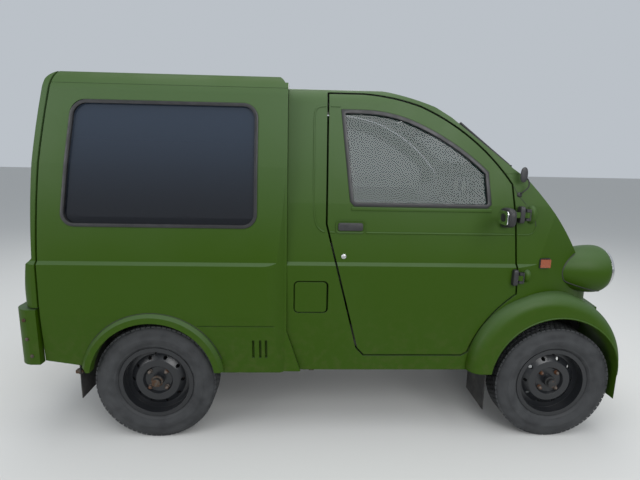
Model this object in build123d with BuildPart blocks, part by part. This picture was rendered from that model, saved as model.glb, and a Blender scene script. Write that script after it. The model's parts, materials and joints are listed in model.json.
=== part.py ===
"""Micro cargo truck: a narrow cab with pods and wings, and a closed load box behind it.

Millimetres. +X forward, +Y to the left, +Z up; origin on the ground under the middle of the part.
"""
import os
from math import cos, radians, sin, sqrt

from build123d import *

os.makedirs("parts", exist_ok=True)

# Overall size and running gear
LENGTH = 2790.0
HEIGHT = 1650.0
WHEELBASE = 1840.0
REAR_X = -LENGTH / 2
FRONT_X = LENGTH / 2
REAR_AXLE_X = -787.0
FRONT_AXLE_X = REAR_AXLE_X + WHEELBASE
TYRE_R = 271.0
TYRE_WIDTH = 146.0
AXLE_Z = TYRE_R
FRONT_TRACK_Y = 555.0
REAR_TRACK_Y = 545.0

# Clearances
SEAT_GAP = 0.3
DOOR_GAP = 8.0
PANEL_GAP = 0.6
RUN_GAP = 0.05

# Body walls and levels
SILL_Z = 328.0
BELT_Z = 828.0
BELT_RISE = 14.0
BELT_STEP = 12.0
CAB_WALL = 45.0
DOOR_WALL = 39.0
DOOR_SKIN = 12.0
DOOR_RETURN = 14.0
BOX_WALL = 38.0
HATCH_WALL = 45.0
GLASS = 4.0
GLASS_DEPTH = 10.0
SHEET = 8.0

# Roof over the belt as drawn
ROOF_RISE = 822.0


def lift(height):
    """Height over the belt, in proportion to the roof's."""
    return BELT_Z + (height - BELT_Z) * (HEIGHT - BELT_Z) / ROOF_RISE


# Cab form
JOINT_X = -195.0
CAB_TURN_X = -600.0
CAB_HALF = 604.0
CAB_SILL_HALF = 585.0
CAB_EAVE_HALF = 505.0
CAB_EAVE_Z = lift(1530.0)
CAB_ROOF_Z = lift(1612.0)
SCREEN_TOP = (628.0, lift(1478.0))
SCREEN_FOOT = (902.0, lift(1262.0))
NOSE_X = FRONT_X - 37.0
NOSE_Z = 600.0
COWL_Z = lift(1240.0)
NOSE_BACK_X = 690.0
NOSE_FOOT_Z = 300.0

# Load box form
BOX_HALF = 635.0
BOX_SILL_HALF = BOX_HALF - 20.0
BOX_EAVE_HALF = BOX_HALF - 73.0
BOX_EAVE_Z = lift(1540.0)
BOX_SHOULDER_HALF = BOX_HALF - 135.0
HINGE_R = 7.0
BOX_ROOF_Z = HEIGHT - HINGE_R - 1.0
BOX_SHOULDER_Z = BOX_ROOF_Z - 14.0
BOX_CORNER_R = 70.0
HATCH_TOP_X = REAR_X + 229.0
HATCH_MID_X = REAR_X + 152.0
HATCH_BELT_X = REAR_X + 124.0
HATCH_STEP_X = REAR_X + 101.0
HATCH_FOOT_X = REAR_X + 61.0
HATCH_STEP_IN = 28.0
HATCH_FOOT_Z = 636.0
GAP_TOP_X = REAR_X + 245.0
GAP_BELT_X = REAR_X + 141.0
GAP_FOOT_X = REAR_X + 133.0
BOX_WINDOW_ROUND = 62.0

# Floor, frame and wells
RAIL_Y = 265.0
RAIL_WIDTH = 50.0
RAIL_Z = 346.0
RAIL_TALL = 90.0
FLOOR_Z = RAIL_Z + RAIL_TALL
DECK_Z = 596.0
WELL_R = 310.0
WELL_INNER_Y = 320.0
REAR_WELL_R = 298.0
REAR_WELL_Z = 284.0
REAR_WELL_INNER_Y = 430.0
RISER_X = 350.0
TOE_X = 752.0
TOE_TOP = (812.0, 900.0)

# Wings and flares
WIDTH = 1295.0
WING_Y = WIDTH / 2
WING_C = (1003.0, 351.0)
WING_R = 360.0
WING_LIP_C = (1045.0, 300.0)
WING_LIP_R = 303.0
WING_FOOT_FRONT_Z = 200.0
WING_FOOT_BACK_Z = 334.0
FLARE_C = (REAR_AXLE_X, 296.0)
FLARE_LIP_R = 276.0
FLARE_R = 316.0

# Lamps
POD_Y = 470.0
POD_Z = 795.0
POD_R = 114.0
POD_BACK_X = FRONT_X - 355.0
RING_X = FRONT_X - 97.0
RING_R = 101.0
RING_WIDE = 14.0
LENS_TIP_X = FRONT_X - 52.0

# Wheels
RIM_SEAT_R = 153.0
RIM_FLANGE_R = 168.0
RIM_HALF = 56.0
RIM_WALL = 4.0
HUB_R = 27.0
SPINDLE_R = 14.0
SPINDLE_END = 62.0
NUT_R = 20.0
# Radius and distance out of the wheel's middle plane, round the dished disc
DISC_PROFILE = ((151.0, 3.0), (151.0, 10.0), (124.0, 14.0), (98.0, 33.0), (68.0, 33.0), (60.0, 20.0),
                (20.0, 20.0), (20.0, 13.0), (64.0, 13.0), (72.0, 26.0), (94.0, 26.0), (118.0, 7.0))
VENT_R = 8.5
VENT_PITCH_R = 112.0
VENT_COUNT = 10

# Steering
KINGPIN_IN = 20.0
KINGPIN_R = 12.0
KNUCKLE_HALF = 80.0
EAR_GAP = 5.0
EAR_TALL = 20.0
STRUT_IN = 112.0
STRUT_R = 25.0

# Hinges
DOOR_PIN = (846.0, 617.0)
DOOR_PIN_R = 5.0
DOOR_KNUCKLE_R = 10.0
DOOR_KNUCKLE = 24.0
DOOR_KNUCKLE_GAP = 1.0
# Height, foot of the door's leaf, half-width of the body there
DOOR_HINGES = ((784.0, 812.0, 601.0), (lift(1066.0), 793.0, 577.0))
HATCH_PIN = (GAP_TOP_X + 8.0, HEIGHT - HINGE_R)
HATCH_PIN_R = 4.0
HATCH_HINGE_Y = 300.0
VENT_WIDE = 10.0
LID_LOW = (-160.0, 612.0)
LID_HIGH = (-19.0, 752.0)
LID_GAP = 5.0
LID_ROUND = 16.0
LID_FRONT_GAP = 8.0
LID_WALL = 4.0
LID_DEPTH = 38.0
LID_PIN = (-34.0, -586.0)
LID_PIN_R = 2.0
LID_BARREL_R = 4.0
LID_LUG_Z = (636.0, 722.0)
LID_LUG = 5.0

ROOF_SPLIT_Z = lift(1575.0)
WING_INNER_Y = 300.0
GRILLE_SLOTS = (632.0, 656.0, 680.0)
GRILLE_WIDE = 380.0
GRILLE_TALL = 13.0
GRILLE_DEPTH = 14.0
WING_ROUND = 58.0
BUMPER_HALF = 440.0
BUMPER_DEPTH = 75.0
BUMPER_BOW = 52.0
BUMPER_LOW_Z = 310.0
BUMPER_HIGH_Z = 588.0
REAR_BUMPER_LOW_Z = 378.0
REAR_BUMPER_DEPTH = 50.0
REAR_BUMPER_BOW = 25.0
REAR_BUMPER_PROUD = 5.0
REAR_BUMPER_WALL = 36.0
REAR_BUMPER_HIGH_Z = 629.0
PLATE_Z = 460.0
AIR_SLOT_Z = 345.0
AIR_SLOT_WIDE = 420.0
AIR_SLOT_TALL = 30.0
AIR_SLOT_DEPTH = 26.0
PLATE_WIDE = 330.0
PLATE_TALL = 165.0
PLATE_DEPTH = 4.0
TAIL_LAMP_Y = 480.0
TAIL_LAMP_Z = 540.0
TAIL_LAMP_WIDE = 130.0
TAIL_LAMP_TALL = 70.0
LAMP_DEPTH = 35.0
RAIL_BACK_X = REAR_X + REAR_BUMPER_DEPTH + SEAT_GAP
RAIL_FRONT_X = FRONT_X - 125.0
CROSS_MEMBERS = (-1340.0, -1000.0, -560.0, -250.0, 400.0, 700.0, 1200.0)
BOX_SILLS = (-1190.0, -430.0, -300.0)
SILL_WIDE = 40.0
CRADLES = (-80.0, 240.0)
CRADLE_Z = 230.0
SPRING_ENDS = (-1187.0, -387.0)
SPRING_THICK = 22.0
LINER = 6.0
STEER_C = (514.0, -265.0, 1003.0)
STEER_TILT = 40.0
STEER_R = 178.0
STEER_GRIP_R = 13.0
STEER_HUB_R = 34.0
STEER_HUB_BACK = 14.0
STEER_HUB_TALL = 30.0
SPOKE_WIDE = 28.0
SPOKE_THICK = 12.0
COLUMN_PIN_R = 8.0
SEAT_IN_Y = 60.0
SEAT_OUT_Y = 510.0
SPINDLE_NUT = 50.0
HUB_BACK = 7.0
HUB_FRONT = 45.0
MIRROR_HEAD = (718.0, -690.0, lift(1065.0))
MIRROR_SIZE = (60.0, 130.0, 82.0)
WIPER_Y = 400.0

FAR = 3000.0


def save(part, name):
    """Label a finished piece and write it to its file."""
    part.label = name
    export_step(part, f"parts/{name}.step")


def side_prism(outline, y_low, y_high, grow=0.0):
    """Solid between two Y planes with a side-view outline; grow widens it all round."""
    with BuildPart() as prism:
        with BuildSketch(Plane.XZ.offset(-y_high)):
            with BuildLine():
                outline()
            make_face()
            if grow:
                offset(amount=grow)
        extrude(amount=y_high - y_low)
    return prism.part


def block(low, high):
    """Box between two corners."""
    size = [b - a for a, b in zip(low, high)]
    with BuildPart() as solid:
        with Locations(low):
            Box(*size, align=(Align.MIN, Align.MIN, Align.MIN))
    return solid.part


def rounded_block(low, high, radius):
    """Box between two corners, with its edges along Y rounded."""
    with BuildPart() as solid:
        add(block(low, high))
        fillet(solid.edges().filter_by(Axis.Y), radius=radius)
    return solid.part


def bar(start, end, radius):
    """Round bar from one point to another."""
    way = Vector(*end) - Vector(*start)
    with BuildPart() as solid:
        with BuildSketch(Plane(origin=start, z_dir=way)):
            Circle(radius)
        extrude(amount=way.length)
    return solid.part


def rounded_slot(slot_z):
    """Round-ended bar across the nose, for one slot of the grille."""
    with BuildPart() as slot:
        with BuildSketch(Plane.YZ.offset(FRONT_X - 200)):
            with Locations((0, slot_z)):
                SlotOverall(GRILLE_WIDE, GRILLE_TALL)
        extrude(amount=200)
    return slot.part


def join(*pieces):
    """One part from solids that touch."""
    with BuildPart() as whole:
        for piece in pieces:
            add(piece)
    return whole.part


def cut(piece, *tools):
    """A piece with the tools taken away."""
    with BuildPart() as rest:
        add(piece)
        for tool in tools:
            add(tool, mode=Mode.SUBTRACT)
    return rest.part


def common(piece, *tools):
    """What a piece shares with every tool."""
    with BuildPart() as rest:
        add(piece)
        for tool in tools:
            add(tool, mode=Mode.INTERSECT)
    return rest.part


def both_sides(piece):
    """A piece and its mirror image across the middle plane."""
    with BuildPart() as pair:
        add(piece)
        mirror(about=Plane.XZ)
    return pair.part


def other_side(piece):
    """The mirror image of a piece across the middle plane."""
    with BuildPart() as image:
        add(piece)
        mirror(about=Plane.XZ, mode=Mode.REPLACE)
    return image.part


def on_screen(y, z, stand_off):
    """Point at a height and half-width on the windscreen, stood off along its normal."""
    across, up = SCREEN_FOOT[0] - SCREEN_TOP[0], SCREEN_TOP[1] - SCREEN_FOOT[1]
    slant = sqrt(across**2 + up**2)
    radius = SCREEN_FOOT[0] - (z - SCREEN_FOOT[1]) * across / up - CAB_TURN_X
    x = sqrt(radius**2 - y**2) + CAB_TURN_X
    return (x + stand_off * up / slant, y, z + stand_off * across / slant)


# Body envelopes, each drawn at full size or drawn in by an inset


def cab_side_line(inset):
    """Half of the cab's silhouette, from the turning axis to the nose."""
    roof = CAB_ROOF_Z - inset
    across, up = SCREEN_FOOT[0] - SCREEN_TOP[0], SCREEN_TOP[1] - SCREEN_FOOT[1]
    slant = sqrt(across**2 + up**2)
    shift_x, shift_z = inset * up / slant, inset * across / slant
    top = (SCREEN_TOP[0] - shift_x, SCREEN_TOP[1] - shift_z)
    foot = (SCREEN_FOOT[0] - shift_x, SCREEN_FOOT[1] - shift_z)
    cowl = (960 - inset * 0.9, lift(1222) - inset * 0.75)
    nose = (NOSE_X - inset, NOSE_Z)
    Polyline((CAB_TURN_X, 100), (CAB_TURN_X, roof), (150, roof))
    ThreePointArc((150, roof), (370, lift(1580) - inset), (560 - inset / 3, lift(1520) - inset))
    Polyline((560 - inset / 3, lift(1520) - inset), top, foot, cowl)
    ThreePointArc(cowl, (1192 - inset * 0.86, lift(930) - inset * 0.5), nose)
    Polyline(nose, (NOSE_X - 12 - inset, NOSE_FOOT_Z), (NOSE_X - 12 - inset, 100), (CAB_TURN_X, 100))


def cab_section_line(inset):
    """Cross-section of the cab, with the belt step outside and a crowned roof."""
    above_half = CAB_HALF - BELT_STEP
    halves = [(CAB_SILL_HALF, 100), (CAB_SILL_HALF, SILL_Z), (CAB_HALF, BELT_Z), (above_half, BELT_Z + BELT_RISE),
              (575, lift(1100)), (CAB_EAVE_HALF, CAB_EAVE_Z)]
    right = [(y - inset, z) for y, z in halves]
    left = [(-y, z) for y, z in reversed(right)]
    shoulder, crown = 440 - inset * 0.7, lift(1590) - inset
    Polyline(*right)
    ThreePointArc(right[-1], (486 - inset * 0.9, lift(1568) - inset * 0.7), (shoulder, crown))
    ThreePointArc((shoulder, crown), (0, CAB_ROOF_Z - inset), (-shoulder, crown))
    ThreePointArc((-shoulder, crown), (inset * 0.9 - 486, lift(1568) - inset * 0.7), left[0])
    Polyline(*left, right[0])


def cab_plan_line(inset):
    """Plan of the cab: parallel sides that draw in to a rounded nose."""
    half = CAB_HALF - inset
    taper = [(845 - inset * 0.1, half), (1030 - inset * 0.3, 566 - inset), (1200 - inset * 0.5, 490 - inset * 0.8)]
    corner = [(1262 - inset * 0.7, 446 - inset * 0.6), (1300 - inset, 380 - inset * 0.4)]
    other = {point: (point[0], -point[1]) for point in taper + corner}
    Line((CAB_TURN_X, half), taper[0])
    ThreePointArc(*taper)
    ThreePointArc(taper[2], *corner)
    ThreePointArc(corner[1], (FRONT_X - 10 - inset, 0), other[corner[1]])
    ThreePointArc(other[corner[1]], other[corner[0]], other[taper[2]])
    ThreePointArc(other[taper[2]], other[taper[1]], other[taper[0]])
    Polyline(other[taper[0]], (CAB_TURN_X, -half), (CAB_TURN_X, half))


def cab_envelope(inset=0.0):
    """The cab's outer form, or the same form drawn in by an inset."""
    with BuildPart() as form:
        with BuildSketch(Plane.XZ):
            with BuildLine():
                cab_side_line(inset)
            make_face()
        revolve(axis=Axis((CAB_TURN_X, 0, 0), (0, 0, 1)), revolution_arc=360)
        with BuildSketch(Plane.YZ):
            with BuildLine():
                cab_section_line(inset)
            make_face()
        extrude(amount=FAR, both=True, mode=Mode.INTERSECT)
        with BuildSketch(Plane.XY):
            with BuildLine():
                cab_plan_line(inset)
            make_face()
        extrude(amount=FAR, mode=Mode.INTERSECT)
    return form.part


def box_side_line(inset):
    """Silhouette of the load box, open-ended towards the cab."""
    roof = BOX_ROOF_Z - inset
    brow = (HATCH_TOP_X + 40 + inset * 0.3, roof)
    edge = (HATCH_TOP_X - 22 + inset, lift(1590) - inset * 0.3)
    belt = (HATCH_BELT_X + inset, BELT_Z + BELT_RISE + 10)
    Polyline((0, 100), (0, lift(1600) - inset), (-208, lift(1600) - inset))
    ThreePointArc((-208, lift(1600) - inset), (-236 - inset * 0.4, lift(1632) - inset), (-300, roof))
    Line((-300, roof), brow)
    ThreePointArc(brow, (HATCH_TOP_X + 4 + inset * 0.7, lift(1624) - inset * 0.7), edge)
    ThreePointArc(edge, (HATCH_MID_X + inset, lift(1255)), belt)
    Polyline(belt, (HATCH_STEP_X + inset, BELT_Z), (HATCH_FOOT_X + inset, HATCH_FOOT_Z),
             (HATCH_FOOT_X + inset, 100), (0, 100))


def box_section_line(inset):
    """Cross-section of the load box, with the belt step outside and rounded shoulders."""
    halves = [(BOX_SILL_HALF, 100), (BOX_SILL_HALF, SILL_Z), (BOX_HALF - 3, 600), (BOX_HALF, BELT_Z),
              (BOX_HALF - BELT_STEP, BELT_Z + BELT_RISE), (BOX_HALF - 35, lift(1250)), (BOX_EAVE_HALF, BOX_EAVE_Z)]
    right = [(y - inset, z) for y, z in halves]
    left = [(-y, z) for y, z in reversed(right)]
    shoulder, crown = BOX_SHOULDER_HALF - inset * 0.7, BOX_SHOULDER_Z - inset
    Polyline(*right)
    ThreePointArc(right[-1], (BOX_EAVE_HALF - 19 - inset * 0.9, lift(1594) - inset * 0.7), (shoulder, crown))
    ThreePointArc((shoulder, crown), (0, BOX_ROOF_Z - inset), (-shoulder, crown))
    ThreePointArc((-shoulder, crown), (inset * 0.9 - BOX_EAVE_HALF + 19, lift(1594) - inset * 0.7), left[0])
    Polyline(*left, right[0])


def box_plan_line(inset):
    """Plan of the load box: square tail, and front corners drawn in to the cab."""
    half = BOX_HALF - inset
    neck = CAB_HALF - inset
    tail = HATCH_FOOT_X + inset
    radius = BOX_CORNER_R - inset * 0.8
    mid = radius * (1 - cos(radians(45)))
    Line((0, neck), (-205, neck))
    ThreePointArc((-205, neck), (-248, half - 9), (-300, half))
    Line((-300, half), (tail + radius, half))
    ThreePointArc((tail + radius, half), (tail + mid, half - mid), (tail, half - radius))
    Line((tail, half - radius), (tail, radius - half))
    ThreePointArc((tail, radius - half), (tail + mid, mid - half), (tail + radius, -half))
    Line((tail + radius, -half), (-300, -half))
    ThreePointArc((-300, -half), (-248, 9 - half), (-205, -neck))
    Polyline((-205, -neck), (0, -neck), (0, neck))


def box_envelope(inset=0.0):
    """The load box's outer form, or the same form drawn in by an inset."""
    with BuildPart() as form:
        with BuildSketch(Plane.XZ):
            with BuildLine():
                box_side_line(inset)
            make_face()
        extrude(amount=FAR, both=True)
        with BuildSketch(Plane.YZ):
            with BuildLine():
                box_section_line(inset)
            make_face()
        extrude(amount=FAR, both=True, mode=Mode.INTERSECT)
        with BuildSketch(Plane.XY):
            with BuildLine():
                box_plan_line(inset)
            make_face()
        extrude(amount=FAR, mode=Mode.INTERSECT)
    return form.part


# Side-view outlines


def door_line():
    """Door: straight rear edge, slant over the sill, arc round the wing, sloping pillar."""
    Polyline((640, 420), (615, 405), (160, 405), (128, 440), (-20, lift(1010)), (-20, lift(1566)), (130, lift(1566)))
    ThreePointArc((130, lift(1566)), (262, lift(1548)), (377, lift(1517)))
    ThreePointArc((377, lift(1517)), (608, lift(1382)), (790, lift(1192)))
    Polyline((790, lift(1192)), (815, lift(998)), (838, 706))
    ThreePointArc((838, 706), (718, 580), (640, 420))


def door_window_line():
    """Opening for the door glass, up to the outer edge of its rubber."""
    Polyline((120, lift(1501)), (32, lift(1501)), (76, lift(1108)), (96, lift(1088)), (684, lift(1088)), (702, lift(1104)), (686, lift(1246)))
    ThreePointArc((686, lift(1246)), (520, lift(1372)), (325, lift(1468)))
    ThreePointArc((325, lift(1468)), (224, lift(1493)), (120, lift(1501)))


def box_window_line():
    """Opening for the side glass of the load box."""
    FilletPolyline((-1079, lift(1510)), (-318, lift(1510)), (-324, lift(990)), (-1148, lift(990)), radius=BOX_WINDOW_ROUND, close=True)


def tail_rise_line():
    """Everything under the rising lower edge of the load box's sides, behind the rear wheel."""
    Polyline((-1060, 300), (-1082, 358), (-1101, 363), (-1262, 389), (-1300, 389), (-1300, 300), (-1060, 300))


def joint_line():
    """Everything ahead of the joint between box and cab."""
    Polyline((JOINT_X, 1900), (JOINT_X, 520), (-131, SILL_Z), (-131, 0), (1800, 0), (1800, 1900),
             (JOINT_X, 1900))


def hatch_line():
    """Everything behind the gap between side panels and hatch."""
    ThreePointArc((GAP_TOP_X, lift(1660)), (-1219, lift(1270)), (GAP_BELT_X, lift(880)))
    Polyline((GAP_BELT_X, lift(880)), (GAP_FOOT_X, HATCH_FOOT_Z), (-1800, HATCH_FOOT_Z), (-1800, 1900),
             (GAP_TOP_X, 1900), (GAP_TOP_X, lift(1660)))


def tail_cut_line():
    """Everything behind the side panels, hatch gap included, from the ground up."""
    ThreePointArc((GAP_TOP_X + DOOR_GAP, lift(1660)), (-1219 + DOOR_GAP, lift(1270)), (GAP_BELT_X + DOOR_GAP, lift(880)))
    Polyline((GAP_BELT_X + DOOR_GAP, lift(880)), (GAP_FOOT_X + DOOR_GAP, HATCH_FOOT_Z), (GAP_FOOT_X, 0),
             (-1800, 0), (-1800, 1900), (GAP_TOP_X + DOOR_GAP, 1900), (GAP_TOP_X + DOOR_GAP, lift(1660)))


def floor_line():
    """Band of sheet: seat deck, riser, footwell and toe board."""
    Polyline((JOINT_X + PANEL_GAP, DECK_Z), (RISER_X - SHEET, DECK_Z), (RISER_X - SHEET, FLOOR_Z), (TOE_X, FLOOR_Z),
             (TOE_TOP[0] + SHEET, TOE_TOP[1]), TOE_TOP, (TOE_X - SHEET, FLOOR_Z + SHEET),
             (RISER_X, FLOOR_Z + SHEET), (RISER_X, DECK_Z + SHEET), (JOINT_X + PANEL_GAP, DECK_Z + SHEET),
             (JOINT_X + PANEL_GAP, DECK_Z))


def dash_line():
    """Dashboard above the toe board."""
    Polyline((660, TOE_TOP[1] + SEAT_GAP), (645, lift(1075)), (690, lift(1140)), (870, lift(1195)), (870, TOE_TOP[1] + SEAT_GAP),
             (660, TOE_TOP[1] + SEAT_GAP))


def wing_line():
    """Outline of a front wing: a round arch with a leg at each end."""
    cx, cz = WING_C
    Line((cx + WING_R, WING_FOOT_FRONT_Z), (cx + WING_R, cz))
    ThreePointArc((cx + WING_R, cz), (cx, cz + WING_R), (cx - WING_R, cz))
    Polyline((cx - WING_R, cz), (cx - WING_R, WING_FOOT_BACK_Z), (cx, WING_FOOT_BACK_Z),
             (cx, WING_FOOT_FRONT_Z), (cx + WING_R, WING_FOOT_FRONT_Z))


def box_tube(inset, x_low, x_high):
    """Length of the load box's cross-section, drawn in by an inset."""
    with BuildPart() as tube:
        with BuildSketch(Plane.YZ.offset(x_low)):
            with BuildLine():
                box_section_line(inset)
            make_face()
        extrude(amount=x_high - x_low)
    return tube.part


def wheel_well(centre_x, centre_z, radius, inner_y, outer_y):
    """Cylinder of a wheel well on the right-hand side."""
    with BuildPart() as well:
        with BuildSketch(Plane.XZ.offset(inner_y)):
            with Locations((centre_x, centre_z)):
                Circle(radius)
        extrude(amount=outer_y - inner_y)
    return well.part


# Envelopes used by more than one panel
cab_outer = cab_envelope()
cab_inner = cab_envelope(CAB_WALL)
cab_ground = block((-900, -FAR, SILL_Z), (1800, FAR, 1900))
box_outer = box_envelope()
box_inner = box_envelope(BOX_WALL)
ahead_of_joint = side_prism(joint_line, -FAR, FAR)
front_well = wheel_well(FRONT_AXLE_X, AXLE_Z, WELL_R, WELL_INNER_Y, 900)
rear_well = wheel_well(REAR_AXLE_X, REAR_WELL_Z, REAR_WELL_R, REAR_WELL_INNER_Y, 900)
right_opening = side_prism(door_line, -900, 0, DOOR_GAP)
left_opening = other_side(right_opening)

# Cab shell and nose
with BuildPart() as screen_hole:
    with BuildSketch(Plane.YZ.offset(500)):
        with BuildLine():
            Polyline((-500, lift(1272)), (500, lift(1272)), (430, lift(1466)), (-430, lift(1466)), (-500, lift(1272)))
        make_face()
        fillet(vertices(), radius=35)
    extrude(amount=800)

cab_wall = common(cut(cab_outer, cab_inner), ahead_of_joint, cab_ground)
nose_zone = block((NOSE_BACK_X, -FAR, 0), (1800, FAR, COWL_Z))
lid_recess = rounded_block((LID_LOW[0] - LID_GAP, -700, LID_LOW[1] - LID_GAP),
                           (LID_HIGH[0] + LID_FRONT_GAP, -CAB_HALF + LID_DEPTH, LID_HIGH[1] + LID_GAP),
                           LID_ROUND + LID_GAP)
lid_pin = [bar((*LID_PIN, LID_LUG_Z[0]), (*LID_PIN, LID_LUG_Z[1] + LID_LUG), LID_PIN_R)]
for lug_z in LID_LUG_Z:
    lid_pin.append(block((LID_PIN[0] - 4, LID_PIN[1] - 4, lug_z),
                         (LID_PIN[0] + 4, -CAB_HALF + LID_DEPTH + 5, lug_z + LID_LUG)))
wells = [front_well, other_side(front_well)]
cab_rest = cut(cab_wall, nose_zone, right_opening, left_opening, screen_hole.part, lid_recess, *wells)
cab_shell = join(cab_rest, *lid_pin)
nose_keep = block((NOSE_BACK_X + PANEL_GAP, -FAR, 0), (1800, FAR, COWL_Z - PANEL_GAP))
grille_skin = cut(cab_outer, cab_envelope(GRILLE_DEPTH))
grille = [common(rounded_slot(slot_z), grille_skin) for slot_z in GRILLE_SLOTS]
nose_panel = cut(common(cab_wall, nose_keep), right_opening, left_opening, *wells, *grille)
save(cab_shell, "cab_shell")
save(nose_panel, "nose_panel")

# Doors with their glass
door_skin_in = cab_envelope(DOOR_SKIN)
door_inner = cab_envelope(DOOR_WALL)
door_window = side_prism(door_window_line, -900, 0)
door_outer_half = common(cut(cab_outer, door_skin_in), side_prism(door_line, -900, 0))
door_inner_half = common(cut(door_skin_in, door_inner), side_prism(door_line, -900, 0, -DOOR_RETURN))
door_leaves = []
body_leaves = []
for hinge_z, foot_x, face_y in DOOR_HINGES:
    low, high = hinge_z - DOOR_KNUCKLE / 2, hinge_z + DOOR_KNUCKLE / 2
    pin_x, pin_y = DOOR_PIN
    knuckle = bar((pin_x, -pin_y, low), (pin_x, -pin_y, high), DOOR_KNUCKLE_R)
    plate = block((foot_x, -pin_y - 5, low), (pin_x, -pin_y + 5, high))
    foot = block((foot_x, -pin_y - 5, low), (foot_x + 11, -face_y + 8, high))
    bore = bar((pin_x, -pin_y, low - 1), (pin_x, -pin_y, high + 1), DOOR_PIN_R + RUN_GAP)
    door_leaves.append(cut(join(plate, foot, knuckle), bore))
    reach = DOOR_KNUCKLE / 2 + DOOR_KNUCKLE_GAP
    pieces = [bar((pin_x, -pin_y, hinge_z - reach - 12), (pin_x, -pin_y, hinge_z + reach + 12), DOOR_PIN_R)]
    for end in (hinge_z - reach - 12, hinge_z + reach):
        pieces.append(bar((pin_x, -pin_y, end), (pin_x, -pin_y, end + 12), DOOR_KNUCKLE_R))
        pieces.append(block((pin_x, -pin_y - 5, end), (pin_x + 40, -pin_y + 5, end + 12)))
    strap_low, strap_high = hinge_z - reach - 12, hinge_z + reach + 12
    pieces.append(block((pin_x + 22, -pin_y - 5, strap_low), (pin_x + 40, -face_y + 30, strap_high)))
    body_leaves.append(cut(join(*pieces), cab_outer))
door_right = join(cut(join(door_outer_half, door_inner_half), door_window), *door_leaves)
door_glass_right = common(cut(cab_envelope(GLASS_DEPTH), cab_envelope(GLASS_DEPTH + GLASS)),
                          side_prism(door_window_line, -900, 0, -SEAT_GAP))
save(door_right, "door_right")
save(other_side(door_right), "door_left")
save(door_glass_right, "door_glass_right")
save(other_side(door_glass_right), "door_glass_left")
save(both_sides(join(*body_leaves)), "door_hinges")

# Mirrors on the doors
mirror_foot = cut(block((744, -606, lift(1006)), (788, -560, lift(1085))), cab_outer)
mirror_stay = bar((768, -598, lift(1050)), MIRROR_HEAD, 9)
with BuildPart() as mirror_head:
    with Locations(MIRROR_HEAD):
        Box(*MIRROR_SIZE)
    fillet(mirror_head.edges().filter_by(Axis.X), radius=22)
    fillet(mirror_head.faces().sort_by(Axis.X)[-1].edges(), radius=18)
mirror_right = join(mirror_foot, mirror_stay, mirror_head.part)
save(mirror_right, "mirror_right")
save(other_side(mirror_right), "mirror_left")

# Windscreen and wiper
with BuildPart() as screen_edge:
    with BuildSketch(Plane.YZ.offset(500)):
        with BuildLine():
            Polyline((-500, lift(1272)), (500, lift(1272)), (430, lift(1466)), (-430, lift(1466)), (-500, lift(1272)))
        make_face()
        fillet(vertices(), radius=35)
        offset(amount=-SEAT_GAP)
    extrude(amount=800)
windscreen = common(cut(cab_envelope(GLASS_DEPTH), cab_envelope(GLASS_DEPTH + GLASS + 2)), screen_edge.part)
save(windscreen, "windscreen")
wiper_foot = on_screen(-WIPER_Y, SCREEN_FOOT[1] + 8, 10)
wiper_tip = on_screen(-WIPER_Y, SCREEN_TOP[1] - 20, 10)
wiper = join(bar(wiper_foot, wiper_tip, 6), bar(on_screen(-WIPER_Y, SCREEN_FOOT[1] + 8, -20), wiper_foot, 12))
save(cut(wiper, cab_outer), "wiper")

# Fuel lid
lid_plate = common(cut(cab_outer, cab_envelope(LID_WALL)),
                   rounded_block((LID_LOW[0], -700, LID_LOW[1]), (LID_HIGH[0], -500, LID_HIGH[1]), LID_ROUND))
barrel_low, barrel_high = LID_LUG_Z[0] + LID_LUG + 3, LID_LUG_Z[1] - 3
lid_barrel = bar((*LID_PIN, barrel_low), (*LID_PIN, barrel_high), LID_BARREL_R)
lid_web = block((LID_PIN[0] - 3, LID_PIN[1] - 8, barrel_low), (LID_PIN[0] + 3, LID_PIN[1], barrel_high))
lid_bore = bar((*LID_PIN, barrel_low - 1), (*LID_PIN, barrel_high + 1), LID_PIN_R + RUN_GAP)
save(cut(join(lid_plate, lid_barrel, lid_web), lid_bore), "fuel_lid")

# Load box walls
behind_joint = cut(block((-1900, -FAR, SILL_Z), (0, FAR, 1900)), side_prism(joint_line, -FAR, FAR, PANEL_GAP))
tail_opening = box_tube(BOX_WALL, -1500, -1000)
box_wall = cut(common(cut(box_outer, box_inner), behind_joint), side_prism(tail_cut_line, -FAR, FAR), tail_opening)
roof_zone = block((-1900, -FAR, ROOF_SPLIT_Z), (0, FAR, 1900))
with BuildPart() as flare:
    with BuildSketch(Plane.XZ.offset(BOX_HALF - 30)):
        with Locations(FLARE_C):
            Circle(FLARE_R)
    extrude(amount=WING_Y - BOX_HALF + 30)
    outer_rim = flare.faces().sort_by(Axis.Y)[0].edges()
    chamfer(outer_rim, length=14)
    with BuildSketch(Plane.XZ.offset(BOX_HALF - 40)):
        with Locations(FLARE_C):
            Circle(FLARE_LIP_R)
    extrude(amount=100, mode=Mode.SUBTRACT)
flare_ring = common(flare.part, block((-1900, -900, 342), (0, 0, 900)))
box_window = side_prism(box_window_line, -900, 0)
side_cut = cut(common(box_wall, block((-1900, -900, 0), (0, 0, ROOF_SPLIT_Z - PANEL_GAP))), rear_well, box_window)
vents = [block((x - VENT_WIDE / 2, -700, 401), (x + VENT_WIDE / 2, -606, 487)) for x in (-343, -312, -286)]
seam = block((-587, -700, 552), (-224, -625, 556))
side_right = cut(join(side_cut, flare_ring), side_prism(tail_rise_line, -900, 0), seam, *vents)
box_glass = common(cut(box_envelope(GLASS_DEPTH), box_envelope(GLASS_DEPTH + GLASS)),
                   side_prism(box_window_line, -900, 0, -SEAT_GAP))
save(side_right, "cargo_side_right")
save(other_side(side_right), "cargo_side_left")
save(both_sides(box_glass), "cargo_side_glass")

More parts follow.
